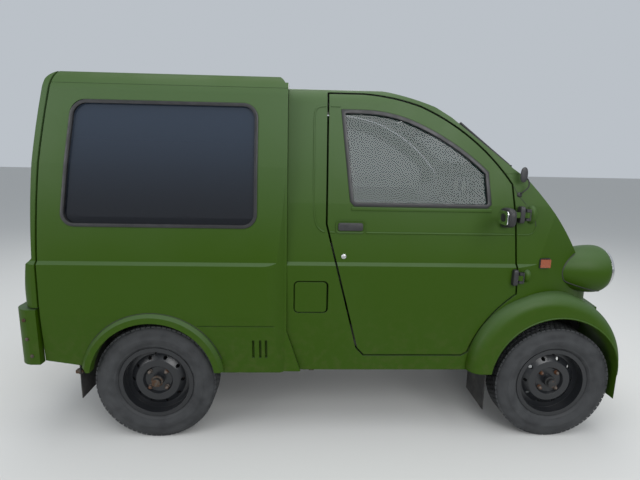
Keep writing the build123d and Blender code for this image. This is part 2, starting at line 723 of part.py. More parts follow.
pin_x, pin_z = HATCH_PIN
roof_lugs = []
hatch_lugs = []
hatch_bores = []
for side in (-1, 1):
    mid_y = side * HATCH_HINGE_Y
    roof_lugs.append(bar((pin_x, mid_y - 28, pin_z), (pin_x, mid_y + 28, pin_z), HATCH_PIN_R))
    for low_y in (mid_y - 28, mid_y + 18):
        roof_lugs.append(bar((pin_x, low_y, pin_z), (pin_x, low_y + 10, pin_z), HINGE_R))
        roof_lugs.append(block((pin_x, low_y, pin_z - 12), (pin_x + 26, low_y + 10, pin_z + HINGE_R)))
    hatch_lugs.append(bar((pin_x, mid_y - 16, pin_z), (pin_x, mid_y + 16, pin_z), HINGE_R))
    hatch_lugs.append(block((pin_x - 24, mid_y - 16, pin_z - 8), (pin_x, mid_y + 16, pin_z + HINGE_R - 2)))
    hatch_lugs.append(block((pin_x - 34, mid_y - 16, pin_z - 50), (pin_x - 14, mid_y + 16, pin_z + HINGE_R - 2)))
    hatch_bores.append(bar((pin_x, mid_y - 17, pin_z), (pin_x, mid_y + 17, pin_z), HATCH_PIN_R + RUN_GAP))
knuckle_room = [block((pin_x - 20, side * HATCH_HINGE_Y - 17, pin_z - 60),
                       (pin_x + 9, side * HATCH_HINGE_Y + 17, HEIGHT + 50))
                for side in (-1, 1)]
cargo_roof = join(cut(common(box_wall, roof_zone), *knuckle_room), *roof_lugs)
save(cargo_roof, "cargo_roof")

# Hatch with its glass
hatch_inner = box_envelope(HATCH_WALL)
hatch_zone = side_prism(hatch_line, -FAR, FAR)
with BuildPart() as hatch_hole:
    with BuildSketch(Plane.YZ.offset(-1500)):
        with BuildLine():
            Polyline((-480, lift(1010)), (480, lift(1010)), (425, lift(1500)), (-425, lift(1500)), (-480, lift(1010)))
        make_face()
        fillet(vertices(), radius=60)
    extrude(amount=400)
hatch_wall = cut(box_outer, hatch_inner)
hatch_tray = common(hatch_wall, hatch_zone.moved(Location((HATCH_STEP_IN, 0, 0))),
                    box_tube(BOX_WALL + DOOR_GAP, REAR_X - 5, GAP_TOP_X + 50),
                    block((REAR_X - 5, -FAR, HATCH_FOOT_Z), (GAP_TOP_X + 50, FAR, lift(1480))))
hatch_shell = cut(join(common(hatch_wall, hatch_zone), hatch_tray), hatch_hole.part)
save(cut(join(hatch_shell, *hatch_lugs), *hatch_bores), "hatch")
with BuildPart() as hatch_pane:
    with BuildSketch(Plane.YZ.offset(-1500)):
        with BuildLine():
            Polyline((-480, lift(1010)), (480, lift(1010)), (425, lift(1500)), (-425, lift(1500)), (-480, lift(1010)))
        make_face()
        fillet(vertices(), radius=60)
        offset(amount=-SEAT_GAP)
    extrude(amount=400)
hatch_glass = common(cut(box_envelope(GLASS_DEPTH), box_envelope(GLASS_DEPTH + GLASS)), hatch_pane.part)
save(hatch_glass, "hatch_glass")

# Wings
with BuildPart() as wing:
    with BuildSketch(Plane.XZ.offset(WING_INNER_Y)):
        with BuildLine():
            wing_line()
        make_face()
    extrude(amount=WING_Y - WING_INNER_Y)
    outer_edges = wing.faces().sort_by(Axis.Y)[0].edges()
    arch_edges = outer_edges.filter_by(lambda edge: abs(edge.center().X - WING_C[0]) > WING_R - 1
                                       or edge.center().Z > WING_C[1])
    fillet(arch_edges, radius=WING_ROUND)
    with BuildSketch(Plane.XZ.offset(WING_INNER_Y)):
        with Locations(WING_LIP_C):
            Circle(WING_LIP_R)
        with Locations((WING_LIP_C[0], WING_LIP_C[1] - WING_LIP_R)):
            Rectangle(WING_LIP_R * 2, WING_LIP_R * 2)
    extrude(amount=WING_Y - WING_INNER_Y, mode=Mode.SUBTRACT)
bumper_zone = block((FRONT_X - BUMPER_DEPTH - PANEL_GAP, -BUMPER_HALF - PANEL_GAP, BUMPER_LOW_Z - PANEL_GAP),
                    (FRONT_X, BUMPER_HALF + PANEL_GAP, BUMPER_HIGH_Z + PANEL_GAP))
wing_right = cut(wing.part, cab_outer, bumper_zone)
save(both_sides(wing_right), "front_wings")

# Bumpers
with BuildPart() as front_bumper:
    with BuildSketch(Plane.XY.offset(BUMPER_LOW_Z)):
        with BuildLine():
            end_x, back_x = FRONT_X - BUMPER_BOW, FRONT_X - BUMPER_DEPTH
            ThreePointArc((end_x, -BUMPER_HALF), (FRONT_X, 0), (end_x, BUMPER_HALF))
            Polyline((end_x, BUMPER_HALF), (back_x, BUMPER_HALF), (back_x, -BUMPER_HALF), (end_x, -BUMPER_HALF))
        make_face()
    extrude(amount=BUMPER_HIGH_Z - BUMPER_LOW_Z)
    add(cab_outer, mode=Mode.SUBTRACT)
    with Locations((FRONT_X, 0, PLATE_Z)):
        Box(2 * PLATE_DEPTH, PLATE_WIDE + 1, PLATE_TALL + 1, mode=Mode.SUBTRACT)
    with Locations((FRONT_X, 0, AIR_SLOT_Z)):
        Box(2 * AIR_SLOT_DEPTH, AIR_SLOT_WIDE, AIR_SLOT_TALL, mode=Mode.SUBTRACT)
save(front_bumper.part, "front_bumper")

with BuildPart() as rear_form:
    with BuildSketch(Plane.XY.offset(REAR_BUMPER_LOW_Z)):
        with BuildLine():
            lip_x, bend_x, end_x = GAP_FOOT_X - 6, REAR_X + 85, REAR_X + REAR_BUMPER_BOW
            back_x = REAR_X + REAR_BUMPER_DEPTH
            outer, inner = BOX_HALF + REAR_BUMPER_PROUD, BOX_HALF + REAR_BUMPER_PROUD - REAR_BUMPER_WALL
            face, well = BOX_HALF - 75, BOX_HALF - 65
            Line((lip_x, outer), (bend_x, outer))
            ThreePointArc((bend_x, outer), (end_x + 19, outer - 23), (end_x, face))
            ThreePointArc((end_x, face), (REAR_X, 0), (end_x, -face))
            ThreePointArc((end_x, -face), (end_x + 19, 23 - outer), (bend_x, -outer))
            Polyline((bend_x, -outer), (lip_x, -outer), (lip_x, -inner), (bend_x, -inner), (back_x, -well),
                     (back_x, well), (bend_x, inner), (lip_x, inner), (lip_x, outer))
        make_face()
    extrude(amount=REAR_BUMPER_HIGH_Z - REAR_BUMPER_LOW_Z)
lamp_low = (REAR_X - 10, TAIL_LAMP_Y - TAIL_LAMP_WIDE / 2, TAIL_LAMP_Z - TAIL_LAMP_TALL / 2)
lamp_high = (REAR_X + LAMP_DEPTH, TAIL_LAMP_Y + TAIL_LAMP_WIDE / 2, TAIL_LAMP_Z + TAIL_LAMP_TALL / 2)
lamp_room = both_sides(block(lamp_low, lamp_high))
plate_half = (PLATE_WIDE / 2 + 0.5, PLATE_TALL / 2 + 0.5)
plate_room = block((REAR_X - 10, -plate_half[0], PLATE_Z - plate_half[1]),
                   (REAR_X + PLATE_DEPTH, plate_half[0], PLATE_Z + plate_half[1]))
save(cut(rear_form.part, lamp_room, plate_room), "rear_bumper")
lamp_block = block(tuple(low + SEAT_GAP for low in lamp_low), tuple(high - SEAT_GAP for high in lamp_high))
save(common(both_sides(lamp_block), rear_form.part), "tail_lamps")

with BuildPart() as plates:
    with Locations((REAR_X + PLATE_DEPTH - SEAT_GAP, 0, PLATE_Z)):
        Box(2, PLATE_WIDE, PLATE_TALL, align=(Align.MAX, Align.CENTER, Align.CENTER))
    with Locations((FRONT_X - PLATE_DEPTH + SEAT_GAP, 0, PLATE_Z)):
        Box(2, PLATE_WIDE, PLATE_TALL, align=(Align.MIN, Align.CENTER, Align.CENTER))
save(plates.part, "number_plates")

# Headlamp pods, rings, lenses and turn lamps
pod_plane = Plane(origin=(0, -POD_Y, POD_Z), x_dir=(1, 0, 0), z_dir=(0, -1, 0))
pod_axis = Axis((0, -POD_Y, POD_Z), (1, 0, 0))
with BuildPart() as pod:
    with BuildSketch(pod_plane):
        with BuildLine():
            ThreePointArc((POD_BACK_X, 0), (POD_BACK_X + 60, 74), (POD_BACK_X + 170, POD_R - 7))
            ThreePointArc((POD_BACK_X + 170, POD_R - 7), (RING_X - 42, POD_R), (RING_X, RING_R))
            Polyline((RING_X, RING_R), (RING_X, 0), (POD_BACK_X, 0))
        make_face()
    revolve(axis=pod_axis)
save(both_sides(cut(pod.part, cab_outer)), "headlamp_pods")
with BuildPart() as ring:
    with BuildSketch(pod_plane):
        with BuildLine():
            ring_in, ring_front = RING_R - RING_WIDE, RING_X + RING_WIDE
            Polyline((RING_X, ring_in), (RING_X, RING_R), (ring_front, RING_R - 6), (ring_front, ring_in), (RING_X, ring_in))
        make_face()
    revolve(axis=pod_axis)
save(both_sides(ring.part), "headlamp_rings")
with BuildPart() as lens:
    with BuildSketch(pod_plane):
        lens_r, lens_edge_x = RING_R - RING_WIDE - SEAT_GAP, RING_X + RING_WIDE - 2
        with BuildLine():
            Polyline((lens_edge_x, lens_r), (RING_X, lens_r), (RING_X, 0), (LENS_TIP_X, 0))
            ThreePointArc((LENS_TIP_X, 0), (LENS_TIP_X - 11, lens_r * 0.6), (lens_edge_x, lens_r))
        make_face()
    revolve(axis=pod_axis)
save(both_sides(lens.part), "headlamp_lenses")

front_turn = cut(bar((1260, -325, 655), (1334, -325, 655), 28), cab_outer)
side_turn = cut(block((941, -598, 827), (987, -560, 864)), cab_outer)
save(both_sides(join(front_turn, side_turn)), "turn_lamps")

# Chassis frame
frame_bits = [both_sides(block((RAIL_BACK_X, RAIL_Y - RAIL_WIDTH / 2, RAIL_Z),
                               (RAIL_FRONT_X, RAIL_Y + RAIL_WIDTH / 2, FLOOR_Z)))]
half_gap = RAIL_Y - RAIL_WIDTH / 2
for member_x in CROSS_MEMBERS:
    frame_bits.append(block((member_x, -half_gap, RAIL_Z + 10), (member_x + 50, half_gap, FLOOR_Z - 10)))
for cradle_x in CRADLES:
    frame_bits.append(block((cradle_x, -half_gap - RAIL_WIDTH, CRADLE_Z - 14),
                            (cradle_x + 40, half_gap + RAIL_WIDTH, CRADLE_Z)))
    frame_bits.append(both_sides(block((cradle_x, half_gap, CRADLE_Z), (cradle_x + 40, half_gap + RAIL_WIDTH, RAIL_Z))))
for pad_x in SPRING_ENDS:
    frame_bits.append(both_sides(block((pad_x - 20, half_gap, RAIL_Z - 16), (pad_x + 20, half_gap + RAIL_WIDTH, RAIL_Z))))
chassis = join(*frame_bits)
save(chassis, "chassis_frame")

# Engine, tank and exhaust
save(block((-155, -232, CRADLE_Z + SEAT_GAP), (335, 232, 570)), "engine")
tank_y = RAIL_Y + RAIL_WIDTH / 2 + SEAT_GAP
with BuildPart() as tank:
    add(block((-420, -540, 300), (40, -tank_y, FLOOR_Z - 1)))
    fillet(tank.edges().filter_by(Axis.X), radius=18)
save(tank.part, "fuel_tank")
muffler = bar((-680, 170, 290), (-350, 170, 290), 65.7)
front_pipe = bar((-350, 170, 290), (-155.3, 170, 290), 20)
tail_pipe = bar((-450, 170, 260), (-450, 590, 260), 18)
save(join(muffler, front_pipe, tail_pipe), "exhaust")

# Cab floor and wheelhouses
cab_room = cab_envelope(CAB_WALL + SEAT_GAP)
cab_floor = common(side_prism(floor_line, -FAR, FAR), cab_room)
save(cab_floor, "cab_floor")
with BuildPart() as liner:
    with BuildSketch(Plane.XZ.offset(WELL_INNER_Y + SEAT_GAP)):
        with Locations((FRONT_AXLE_X, AXLE_Z)):
            Circle(WELL_R - SEAT_GAP)
    extrude(amount=300)
    with BuildSketch(Plane.XZ.offset(WELL_INNER_Y + SEAT_GAP + 6)):
        with Locations((FRONT_AXLE_X, AXLE_Z)):
            Circle(WELL_R - SEAT_GAP - LINER)
    extrude(amount=400, mode=Mode.SUBTRACT)
liner_right = common(liner.part, cab_outer, block((0, -900, SILL_Z + 4), (1800, 0, 900)))
save(both_sides(liner_right), "wheelhouses")

# Cargo floor with tail panel, sills and rear wheelhouses
box_room = box_envelope(BOX_WALL + SEAT_GAP)
deck = block((-1255, -FAR, DECK_Z), (JOINT_X - PANEL_GAP, FAR, DECK_Z + SHEET))
tail_panel = block((-1262, -FAR, FLOOR_Z + 1), (-1254, FAR, HATCH_FOOT_Z - 6))
save(common(join(deck, tail_panel), box_room), "cargo_floor")
sill_y = BOX_HALF - 75
sills = [block((sill_x, -sill_y, FLOOR_Z), (sill_x + SILL_WIDE, sill_y, DECK_Z - SEAT_GAP)) for sill_x in BOX_SILLS]
save(common(join(*sills), box_room), "cargo_sills")
with BuildPart() as rear_liner:
    with BuildSketch(Plane.XZ.offset(REAR_WELL_INNER_Y)):
        with Locations((REAR_AXLE_X, REAR_WELL_Z)):
            Circle(REAR_WELL_R - 2)
    extrude(amount=300)
    with BuildSketch(Plane.XZ.offset(REAR_WELL_INNER_Y + 6)):
        with Locations((REAR_AXLE_X, REAR_WELL_Z)):
            Circle(REAR_WELL_R - 8)
    extrude(amount=400, mode=Mode.SUBTRACT)
rear_liner_right = common(rear_liner.part, block((-1900, -900, SILL_Z + 4), (0, 0, DECK_Z - SEAT_GAP)))
save(common(both_sides(rear_liner_right), box_room), "rear_wheelhouses")

# Dashboard with steering column
column_top = Vector(*STEER_C)
column_way = Vector(cos(radians(STEER_TILT)), 0, -sin(radians(STEER_TILT)))
dash_bulk = common(side_prism(dash_line, -FAR, FAR), cab_room)
column = bar(column_top + column_way * 20, column_top + column_way * 260, 20)
column_pin = bar(column_top - column_way * 10, column_top + column_way * 30, COLUMN_PIN_R)
save(join(dash_bulk, column, column_pin), "dashboard")

# Steering wheel
steer_plane = Plane(origin=STEER_C, x_dir=(0, -1, 0), z_dir=-column_way)
with BuildPart() as steering_wheel:
    with BuildSketch(Plane(origin=STEER_C, x_dir=steer_plane.y_dir, z_dir=(0, 1, 0))):
        with Locations((STEER_R, 0)):
            Circle(STEER_GRIP_R)
    revolve(axis=Axis(STEER_C, column_way))
    with BuildSketch(steer_plane.offset(-SPOKE_THICK / 2)):
        Rectangle(2 * STEER_R, SPOKE_WIDE)
        with Locations((0, -STEER_R / 2)):
            Rectangle(SPOKE_WIDE * 1.4, STEER_R)
    extrude(amount=SPOKE_THICK)
    with BuildSketch(steer_plane.offset(-STEER_HUB_BACK)):
        Circle(STEER_HUB_R)
    extrude(amount=STEER_HUB_TALL)
    with BuildSketch(steer_plane.offset(-STEER_HUB_BACK)):
        Circle(COLUMN_PIN_R + RUN_GAP)
    extrude(amount=STEER_HUB_TALL - 4, mode=Mode.SUBTRACT)
save(steering_wheel.part, "steering_wheel")

# Seats and room mirror
cushions = []
backs = []
for side in (-1, 1):
    low_y, high_y = sorted((side * SEAT_IN_Y, side * SEAT_OUT_Y))
    with BuildPart() as cushion:
        add(block((-70, low_y, DECK_Z + SHEET + SEAT_GAP), (400 - 60, high_y, 735)))
        fillet(cushion.faces().sort_by(Axis.Z)[-1].edges(), radius=30)
    cushions.append(cushion.part)
    with BuildPart() as back:
        with BuildSketch(Plane.XZ.offset(-high_y)):
            with BuildLine():
                Polyline((-72, DECK_Z + SHEET + SEAT_GAP), (-72, 740), (-110, lift(1075)), (-175, lift(1075)), (-180, 760),
                         (-180, DECK_Z + SHEET + SEAT_GAP), (-72, DECK_Z + SHEET + SEAT_GAP))
            make_face()
        extrude(amount=high_y - low_y)
        fillet(back.faces().sort_by(Axis.Z)[-1].edges(), radius=25)
    backs.append(back.part)
save(join(*cushions), "seat_cushions")
save(join(*backs), "seat_backs")
mirror_bar = common(bar((415, 0, lift(1480)), (470, 0, lift(1620)), 7), cab_inner)
save(join(mirror_bar, block((395, -95, lift(1450)), (415, 95, lift(1505)))), "room_mirror")

# Front suspension
king_y = FRONT_TRACK_Y - KINGPIN_IN
ear_low = AXLE_Z - KNUCKLE_HALF - EAR_GAP - EAR_TALL
ear_high = AXLE_Z + KNUCKLE_HALF + EAR_GAP
strut_y = king_y - STRUT_IN
ax = FRONT_AXLE_X
arm_bits = [block((ax - 20, -king_y, ear_low), (ax + 20, -200, ear_low + EAR_TALL)),
            bar((ax, -king_y, ear_low), (ax, -king_y, ear_low + EAR_TALL), 26),
            bar((ax, -king_y, ear_low), (ax, -king_y, ear_low + EAR_TALL + EAR_GAP + 24), KINGPIN_R),
            block((ax - 40, -250, ear_low), (ax + 40, -200, 310)),
            block((ax - 40, -RAIL_Y, 310), (ax + 40, 0.1, RAIL_Z - SEAT_GAP))]
strut_top = AXLE_Z + sqrt((WELL_R - LINER - SEAT_GAP) ** 2 - STRUT_R**2) - 2 * SEAT_GAP
strut_bits = [block((ax - 20, -king_y, ear_high), (ax + 20, -strut_y, ear_high + EAR_TALL)),
              bar((ax, -king_y, ear_high), (ax, -king_y, ear_high + EAR_TALL), 26),
              bar((ax, -king_y, ear_high - EAR_GAP - 24), (ax, -king_y, ear_high + EAR_TALL), KINGPIN_R),
              bar((ax, -strut_y, ear_high), (ax, -strut_y, strut_top), STRUT_R)]
save(join(both_sides(join(*arm_bits)), both_sides(join(*strut_bits))), "front_suspension")

# Knuckles with their spindles
knuckle_block = block((ax - 25, -king_y - 22, AXLE_Z - KNUCKLE_HALF), (ax + 25, -king_y + 22, AXLE_Z + KNUCKLE_HALF))
spindle = bar((ax, -king_y, AXLE_Z), (ax, -FRONT_TRACK_Y - SPINDLE_NUT, AXLE_Z), SPINDLE_R)
spindle_nut = bar((ax, -FRONT_TRACK_Y - SPINDLE_NUT, AXLE_Z), (ax, -FRONT_TRACK_Y - SPINDLE_END, AXLE_Z), NUT_R)
king_bores = [bar((ax, -king_y, low), (ax, -king_y, low + 31), KINGPIN_R + RUN_GAP)
              for low in (AXLE_Z - KNUCKLE_HALF - 1, AXLE_Z + KNUCKLE_HALF - 30)]
knuckle = cut(join(knuckle_block, spindle, spindle_nut), *king_bores)
save(knuckle, "knuckle_right")
save(other_side(knuckle), "knuckle_left")

# Rear axle with propeller shaft, and springs
rx = REAR_AXLE_X
axle_bits = [bar((rx, -470, AXLE_Z), (rx, 470, AXLE_Z), 32), bar((rx, -75, AXLE_Z), (rx, 75, AXLE_Z), 95),
             bar((rx, 0, AXLE_Z), (-155.3, 0, AXLE_Z), 24)]
for side in (-1, 1):
    drum_in, drum_out = side * (REAR_TRACK_Y - 83), side * (REAR_TRACK_Y - 40)
    axle_bits.append(bar((rx, drum_in, AXLE_Z), (rx, drum_out, AXLE_Z), 112))
    axle_bits.append(bar((rx, drum_in, AXLE_Z), (rx, side * (REAR_TRACK_Y + SPINDLE_NUT), AXLE_Z), SPINDLE_R))
    axle_bits.append(bar((rx, side * (REAR_TRACK_Y + SPINDLE_NUT), AXLE_Z),
                         (rx, side * (REAR_TRACK_Y + SPINDLE_END), AXLE_Z), NUT_R))
save(join(*axle_bits), "rear_axle")
leaf_top = RAIL_Z - 16 - SEAT_GAP
with BuildPart() as leaf:
    with BuildSketch(Plane.XZ.offset(-RAIL_Y - RAIL_WIDTH / 2)):
        with BuildLine():
            ThreePointArc((SPRING_ENDS[0] - 20, leaf_top), (rx, AXLE_Z + 32 + SPRING_THICK), (SPRING_ENDS[1] + 20, leaf_top))
            Line((SPRING_ENDS[1] + 20, leaf_top), (SPRING_ENDS[1] + 20, leaf_top - 8))
            ThreePointArc((SPRING_ENDS[1] + 20, leaf_top - 8), (rx, AXLE_Z + 32), (SPRING_ENDS[0] - 20, leaf_top - 8))
            Line((SPRING_ENDS[0] - 20, leaf_top - 8), (SPRING_ENDS[0] - 20, leaf_top))
        make_face()
    extrude(amount=RAIL_WIDTH)
save(both_sides(cut(leaf.part, bar((rx, 0, AXLE_Z), (rx, 500, AXLE_Z), 32 + SEAT_GAP))), "leaf_springs")


# Wheels


def wheel_rim(axle_x, track_y, side):
    """Steel rim with a vented disc and a bored hub."""
    plane = Plane(origin=(axle_x, side * track_y, AXLE_Z), x_dir=(1, 0, 0), z_dir=(0, side, 0))
    profile = Plane(origin=plane.origin, x_dir=(1, 0, 0), z_dir=(0, 0, side))
    with BuildPart() as rim:
        with BuildSketch(profile):
            with BuildLine():
                inner = RIM_SEAT_R - RIM_WALL
                Polyline((inner, -RIM_HALF), (RIM_FLANGE_R, -RIM_HALF), (RIM_FLANGE_R, RIM_WALL - RIM_HALF),
                         (RIM_SEAT_R, RIM_WALL - RIM_HALF), (RIM_SEAT_R, RIM_HALF - RIM_WALL),
                         (RIM_FLANGE_R, RIM_HALF - RIM_WALL), (RIM_FLANGE_R, RIM_HALF), (inner, RIM_HALF),
                         (inner, -RIM_HALF))
            make_face()
        revolve(axis=Axis(plane.origin, plane.z_dir))
        with BuildSketch(profile):
            with BuildLine():
                Polyline(*DISC_PROFILE, DISC_PROFILE[0])
            make_face()
        revolve(axis=Axis(plane.origin, plane.z_dir))
        with BuildSketch(plane):
            with PolarLocations(VENT_PITCH_R, VENT_COUNT):
                Circle(VENT_R)
        extrude(amount=RIM_HALF, mode=Mode.SUBTRACT)
        with BuildSketch(plane.offset(HUB_BACK)):
            Circle(HUB_R)
        extrude(amount=HUB_FRONT - HUB_BACK)
        with BuildSketch(plane.offset(HUB_BACK - 1)):
            Circle(SPINDLE_R + RUN_GAP)
        extrude(amount=HUB_FRONT - HUB_BACK + 2, mode=Mode.SUBTRACT)
    return rim.part


def wheel_tyre(axle_x, track_y, side):
    """Tyre seated between the rim's flanges."""
    origin = (axle_x, side * track_y, AXLE_Z)
    with BuildPart() as tyre:
        with BuildSketch(Plane(origin=origin, x_dir=(1, 0, 0), z_dir=(0, 0, -side))):
            bead = RIM_HALF - RIM_WALL - SEAT_GAP
            belly = TYRE_WIDTH / 2
            seat = RIM_SEAT_R + SEAT_GAP
            with BuildLine():
                Polyline((RIM_FLANGE_R + 3, -bead - 4), (RIM_FLANGE_R + 1, -bead), (seat, -bead), (seat, bead),
                         (RIM_FLANGE_R + 1, bead), (RIM_FLANGE_R + 3, bead + 4))
                ThreePointArc((RIM_FLANGE_R + 3, bead + 4), (218, belly), (TYRE_R - 14, belly - 12))
                ThreePointArc((TYRE_R - 14, belly - 12), (TYRE_R - 3, belly - 20), (TYRE_R, belly - 32))
                Line((TYRE_R, belly - 32), (TYRE_R, 32 - belly))
                ThreePointArc((TYRE_R, 32 - belly), (TYRE_R - 3, 20 - belly), (TYRE_R - 14, 12 - belly))
                ThreePointArc((TYRE_R - 14, 12 - belly), (218, -belly), (RIM_FLANGE_R + 3, -bead - 4))
            make_face()
        revolve(axis=Axis(origin, (0, side, 0)))
    return tyre.part


WHEELS = (("front_right", FRONT_AXLE_X, FRONT_TRACK_Y, -1), ("front_left", FRONT_AXLE_X, FRONT_TRACK_Y, 1),
          ("rear_right", REAR_AXLE_X, REAR_TRACK_Y, -1), ("rear_left", REAR_AXLE_X, REAR_TRACK_Y, 1))
for place, axle_x, track_y, side in WHEELS:
    save(wheel_rim(axle_x, track_y, side), f"rim_{place}")
    save(wheel_tyre(axle_x, track_y, side), f"tyre_{place}")

# Mud flaps behind the wheels
flap_top = SILL_Z - SEAT_GAP
rear_flap_top = 365.0 - SEAT_GAP
flap_bits = [block((717, -640, 155), (721, -440, flap_top)), block((-1118, 25 - BOX_HALF, 200), (-1114, -440, rear_flap_top))]
save(both_sides(join(*flap_bits)), "mud_flaps")
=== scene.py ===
"""Looks of a micro cargo truck: finishes for its carried-over parts, and the fine pieces laid on them.

Metres, +X forward, +Y to the truck's left, +Z up, the origin on the ground under its middle.
"""

import json
import logging
import math
from collections.abc import Callable, Sequence
from dataclasses import dataclass, field
from enum import Enum, IntEnum

import bmesh
import bpy
from mathutils import Matrix, Vector
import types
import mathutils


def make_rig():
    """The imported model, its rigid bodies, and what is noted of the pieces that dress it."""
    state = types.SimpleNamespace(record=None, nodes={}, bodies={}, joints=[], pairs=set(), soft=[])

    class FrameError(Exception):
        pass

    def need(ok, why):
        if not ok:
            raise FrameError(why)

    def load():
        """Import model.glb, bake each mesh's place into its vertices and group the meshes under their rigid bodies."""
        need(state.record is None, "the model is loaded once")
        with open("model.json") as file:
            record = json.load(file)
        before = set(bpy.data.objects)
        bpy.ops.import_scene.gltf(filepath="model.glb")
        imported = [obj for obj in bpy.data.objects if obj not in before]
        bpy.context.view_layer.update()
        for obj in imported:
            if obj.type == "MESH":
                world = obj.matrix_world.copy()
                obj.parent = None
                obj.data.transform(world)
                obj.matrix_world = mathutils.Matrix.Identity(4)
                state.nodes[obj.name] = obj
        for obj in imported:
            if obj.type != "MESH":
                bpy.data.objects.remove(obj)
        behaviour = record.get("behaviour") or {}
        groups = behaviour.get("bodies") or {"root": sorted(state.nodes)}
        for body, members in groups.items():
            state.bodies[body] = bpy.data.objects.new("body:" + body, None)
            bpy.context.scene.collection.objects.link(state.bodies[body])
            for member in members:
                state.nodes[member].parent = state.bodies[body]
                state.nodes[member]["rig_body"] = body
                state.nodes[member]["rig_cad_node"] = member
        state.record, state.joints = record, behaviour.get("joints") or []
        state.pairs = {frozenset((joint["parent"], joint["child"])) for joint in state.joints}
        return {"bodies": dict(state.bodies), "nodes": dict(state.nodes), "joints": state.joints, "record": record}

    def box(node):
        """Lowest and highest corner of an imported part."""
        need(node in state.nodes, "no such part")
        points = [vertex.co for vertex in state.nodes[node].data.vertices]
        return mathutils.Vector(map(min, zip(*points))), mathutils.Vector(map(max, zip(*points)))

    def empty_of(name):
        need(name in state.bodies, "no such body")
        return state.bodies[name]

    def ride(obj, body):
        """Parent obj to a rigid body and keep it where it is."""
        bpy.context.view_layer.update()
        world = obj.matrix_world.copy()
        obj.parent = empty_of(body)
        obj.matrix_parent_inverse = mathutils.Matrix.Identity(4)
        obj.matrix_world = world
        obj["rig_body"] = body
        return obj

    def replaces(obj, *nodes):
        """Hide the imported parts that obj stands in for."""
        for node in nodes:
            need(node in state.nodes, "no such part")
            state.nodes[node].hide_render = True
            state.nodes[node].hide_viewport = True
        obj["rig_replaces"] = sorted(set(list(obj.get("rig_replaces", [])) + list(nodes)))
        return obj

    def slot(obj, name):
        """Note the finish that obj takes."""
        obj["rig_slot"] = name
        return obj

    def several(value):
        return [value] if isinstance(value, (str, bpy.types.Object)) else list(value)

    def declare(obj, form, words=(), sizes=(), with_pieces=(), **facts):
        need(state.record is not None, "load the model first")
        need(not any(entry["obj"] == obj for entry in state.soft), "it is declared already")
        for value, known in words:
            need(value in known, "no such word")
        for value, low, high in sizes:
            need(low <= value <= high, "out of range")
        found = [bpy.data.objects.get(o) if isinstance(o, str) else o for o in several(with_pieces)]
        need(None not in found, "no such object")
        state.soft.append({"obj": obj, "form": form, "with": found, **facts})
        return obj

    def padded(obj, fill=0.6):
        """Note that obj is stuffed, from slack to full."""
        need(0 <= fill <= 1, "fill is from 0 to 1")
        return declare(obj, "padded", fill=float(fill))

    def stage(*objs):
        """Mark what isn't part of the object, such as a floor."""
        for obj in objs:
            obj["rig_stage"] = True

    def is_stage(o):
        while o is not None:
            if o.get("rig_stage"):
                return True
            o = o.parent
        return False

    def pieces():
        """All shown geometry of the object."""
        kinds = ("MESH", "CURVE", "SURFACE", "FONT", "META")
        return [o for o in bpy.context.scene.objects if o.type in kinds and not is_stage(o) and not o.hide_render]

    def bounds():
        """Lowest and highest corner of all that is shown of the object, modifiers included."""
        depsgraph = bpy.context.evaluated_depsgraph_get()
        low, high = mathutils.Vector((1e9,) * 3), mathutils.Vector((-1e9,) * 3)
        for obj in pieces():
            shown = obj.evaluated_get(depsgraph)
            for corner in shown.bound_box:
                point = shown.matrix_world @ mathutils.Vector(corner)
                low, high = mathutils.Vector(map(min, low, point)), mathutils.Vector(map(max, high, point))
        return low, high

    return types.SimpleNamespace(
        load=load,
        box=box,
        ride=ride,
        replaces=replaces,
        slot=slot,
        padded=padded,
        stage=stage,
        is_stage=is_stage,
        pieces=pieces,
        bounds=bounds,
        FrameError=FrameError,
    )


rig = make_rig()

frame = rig.load()
CAD_BOUNDS = [list(corner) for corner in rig.bounds()]
SIZE_FILE = "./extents.json"
LOG = logging.getLogger("truck")

Colour = tuple[float, float, float]
Point = tuple[float, float, float]
Flat = tuple[float, float]
Path = Sequence[Flat]
Bar = tuple[float, float, float, float, int]
Placer = Callable[[float, float, float], Point]
Socket = bpy.types.NodeSocket


class Look(Enum):
    """Every finish on the truck; the value is the record's material slot or the finish's own name."""

    BODY = "body_paint"
    UNDERBODY = "underbody"
    CHASSIS = "chassis_steel"
    BRIGHT = "bright_trim"
    LAMP_GLASS = "lamp_glass"
    AMBER = "amber_lens"
    RED = "red_lens"
    CLEAR_GLASS = "clear_glass"
    DARK_GLASS = "dark_glass"
    TRIM = "black_trim"
    PLATE = "plate"
    FLAP = "flap_rubber"
    CAST = "engine_cast"
    EXHAUST = "exhaust_steel"
    CABIN = "cabin_plastic"
    CLOTH = "seat_cloth"
    WHEEL = "wheel_steel"
    TYRE = "tyre"
    SEAL = "window_seal"
    PALE = "pale_plastic"
    RUST = "rusty_steel"
    REFLECTOR = "lamp_reflector"
    MIRROR_GLASS = "mirror_glass"


class Side(IntEnum):
    """Side of the truck; the value is the sign of its Y."""

    RIGHT = -1
    LEFT = 1

    @property
    def word(self) -> str:
        """The side's word in names."""
        return self.name.lower()

    @property
    def door(self) -> str:
        """Body of the side's door."""
        return f"door_{self.word}"

    @property
    def flip(self) -> Matrix:
        """Turn that brings a left-hand shape to this side."""
        return Matrix.Diagonal((1, self, 1, 1))


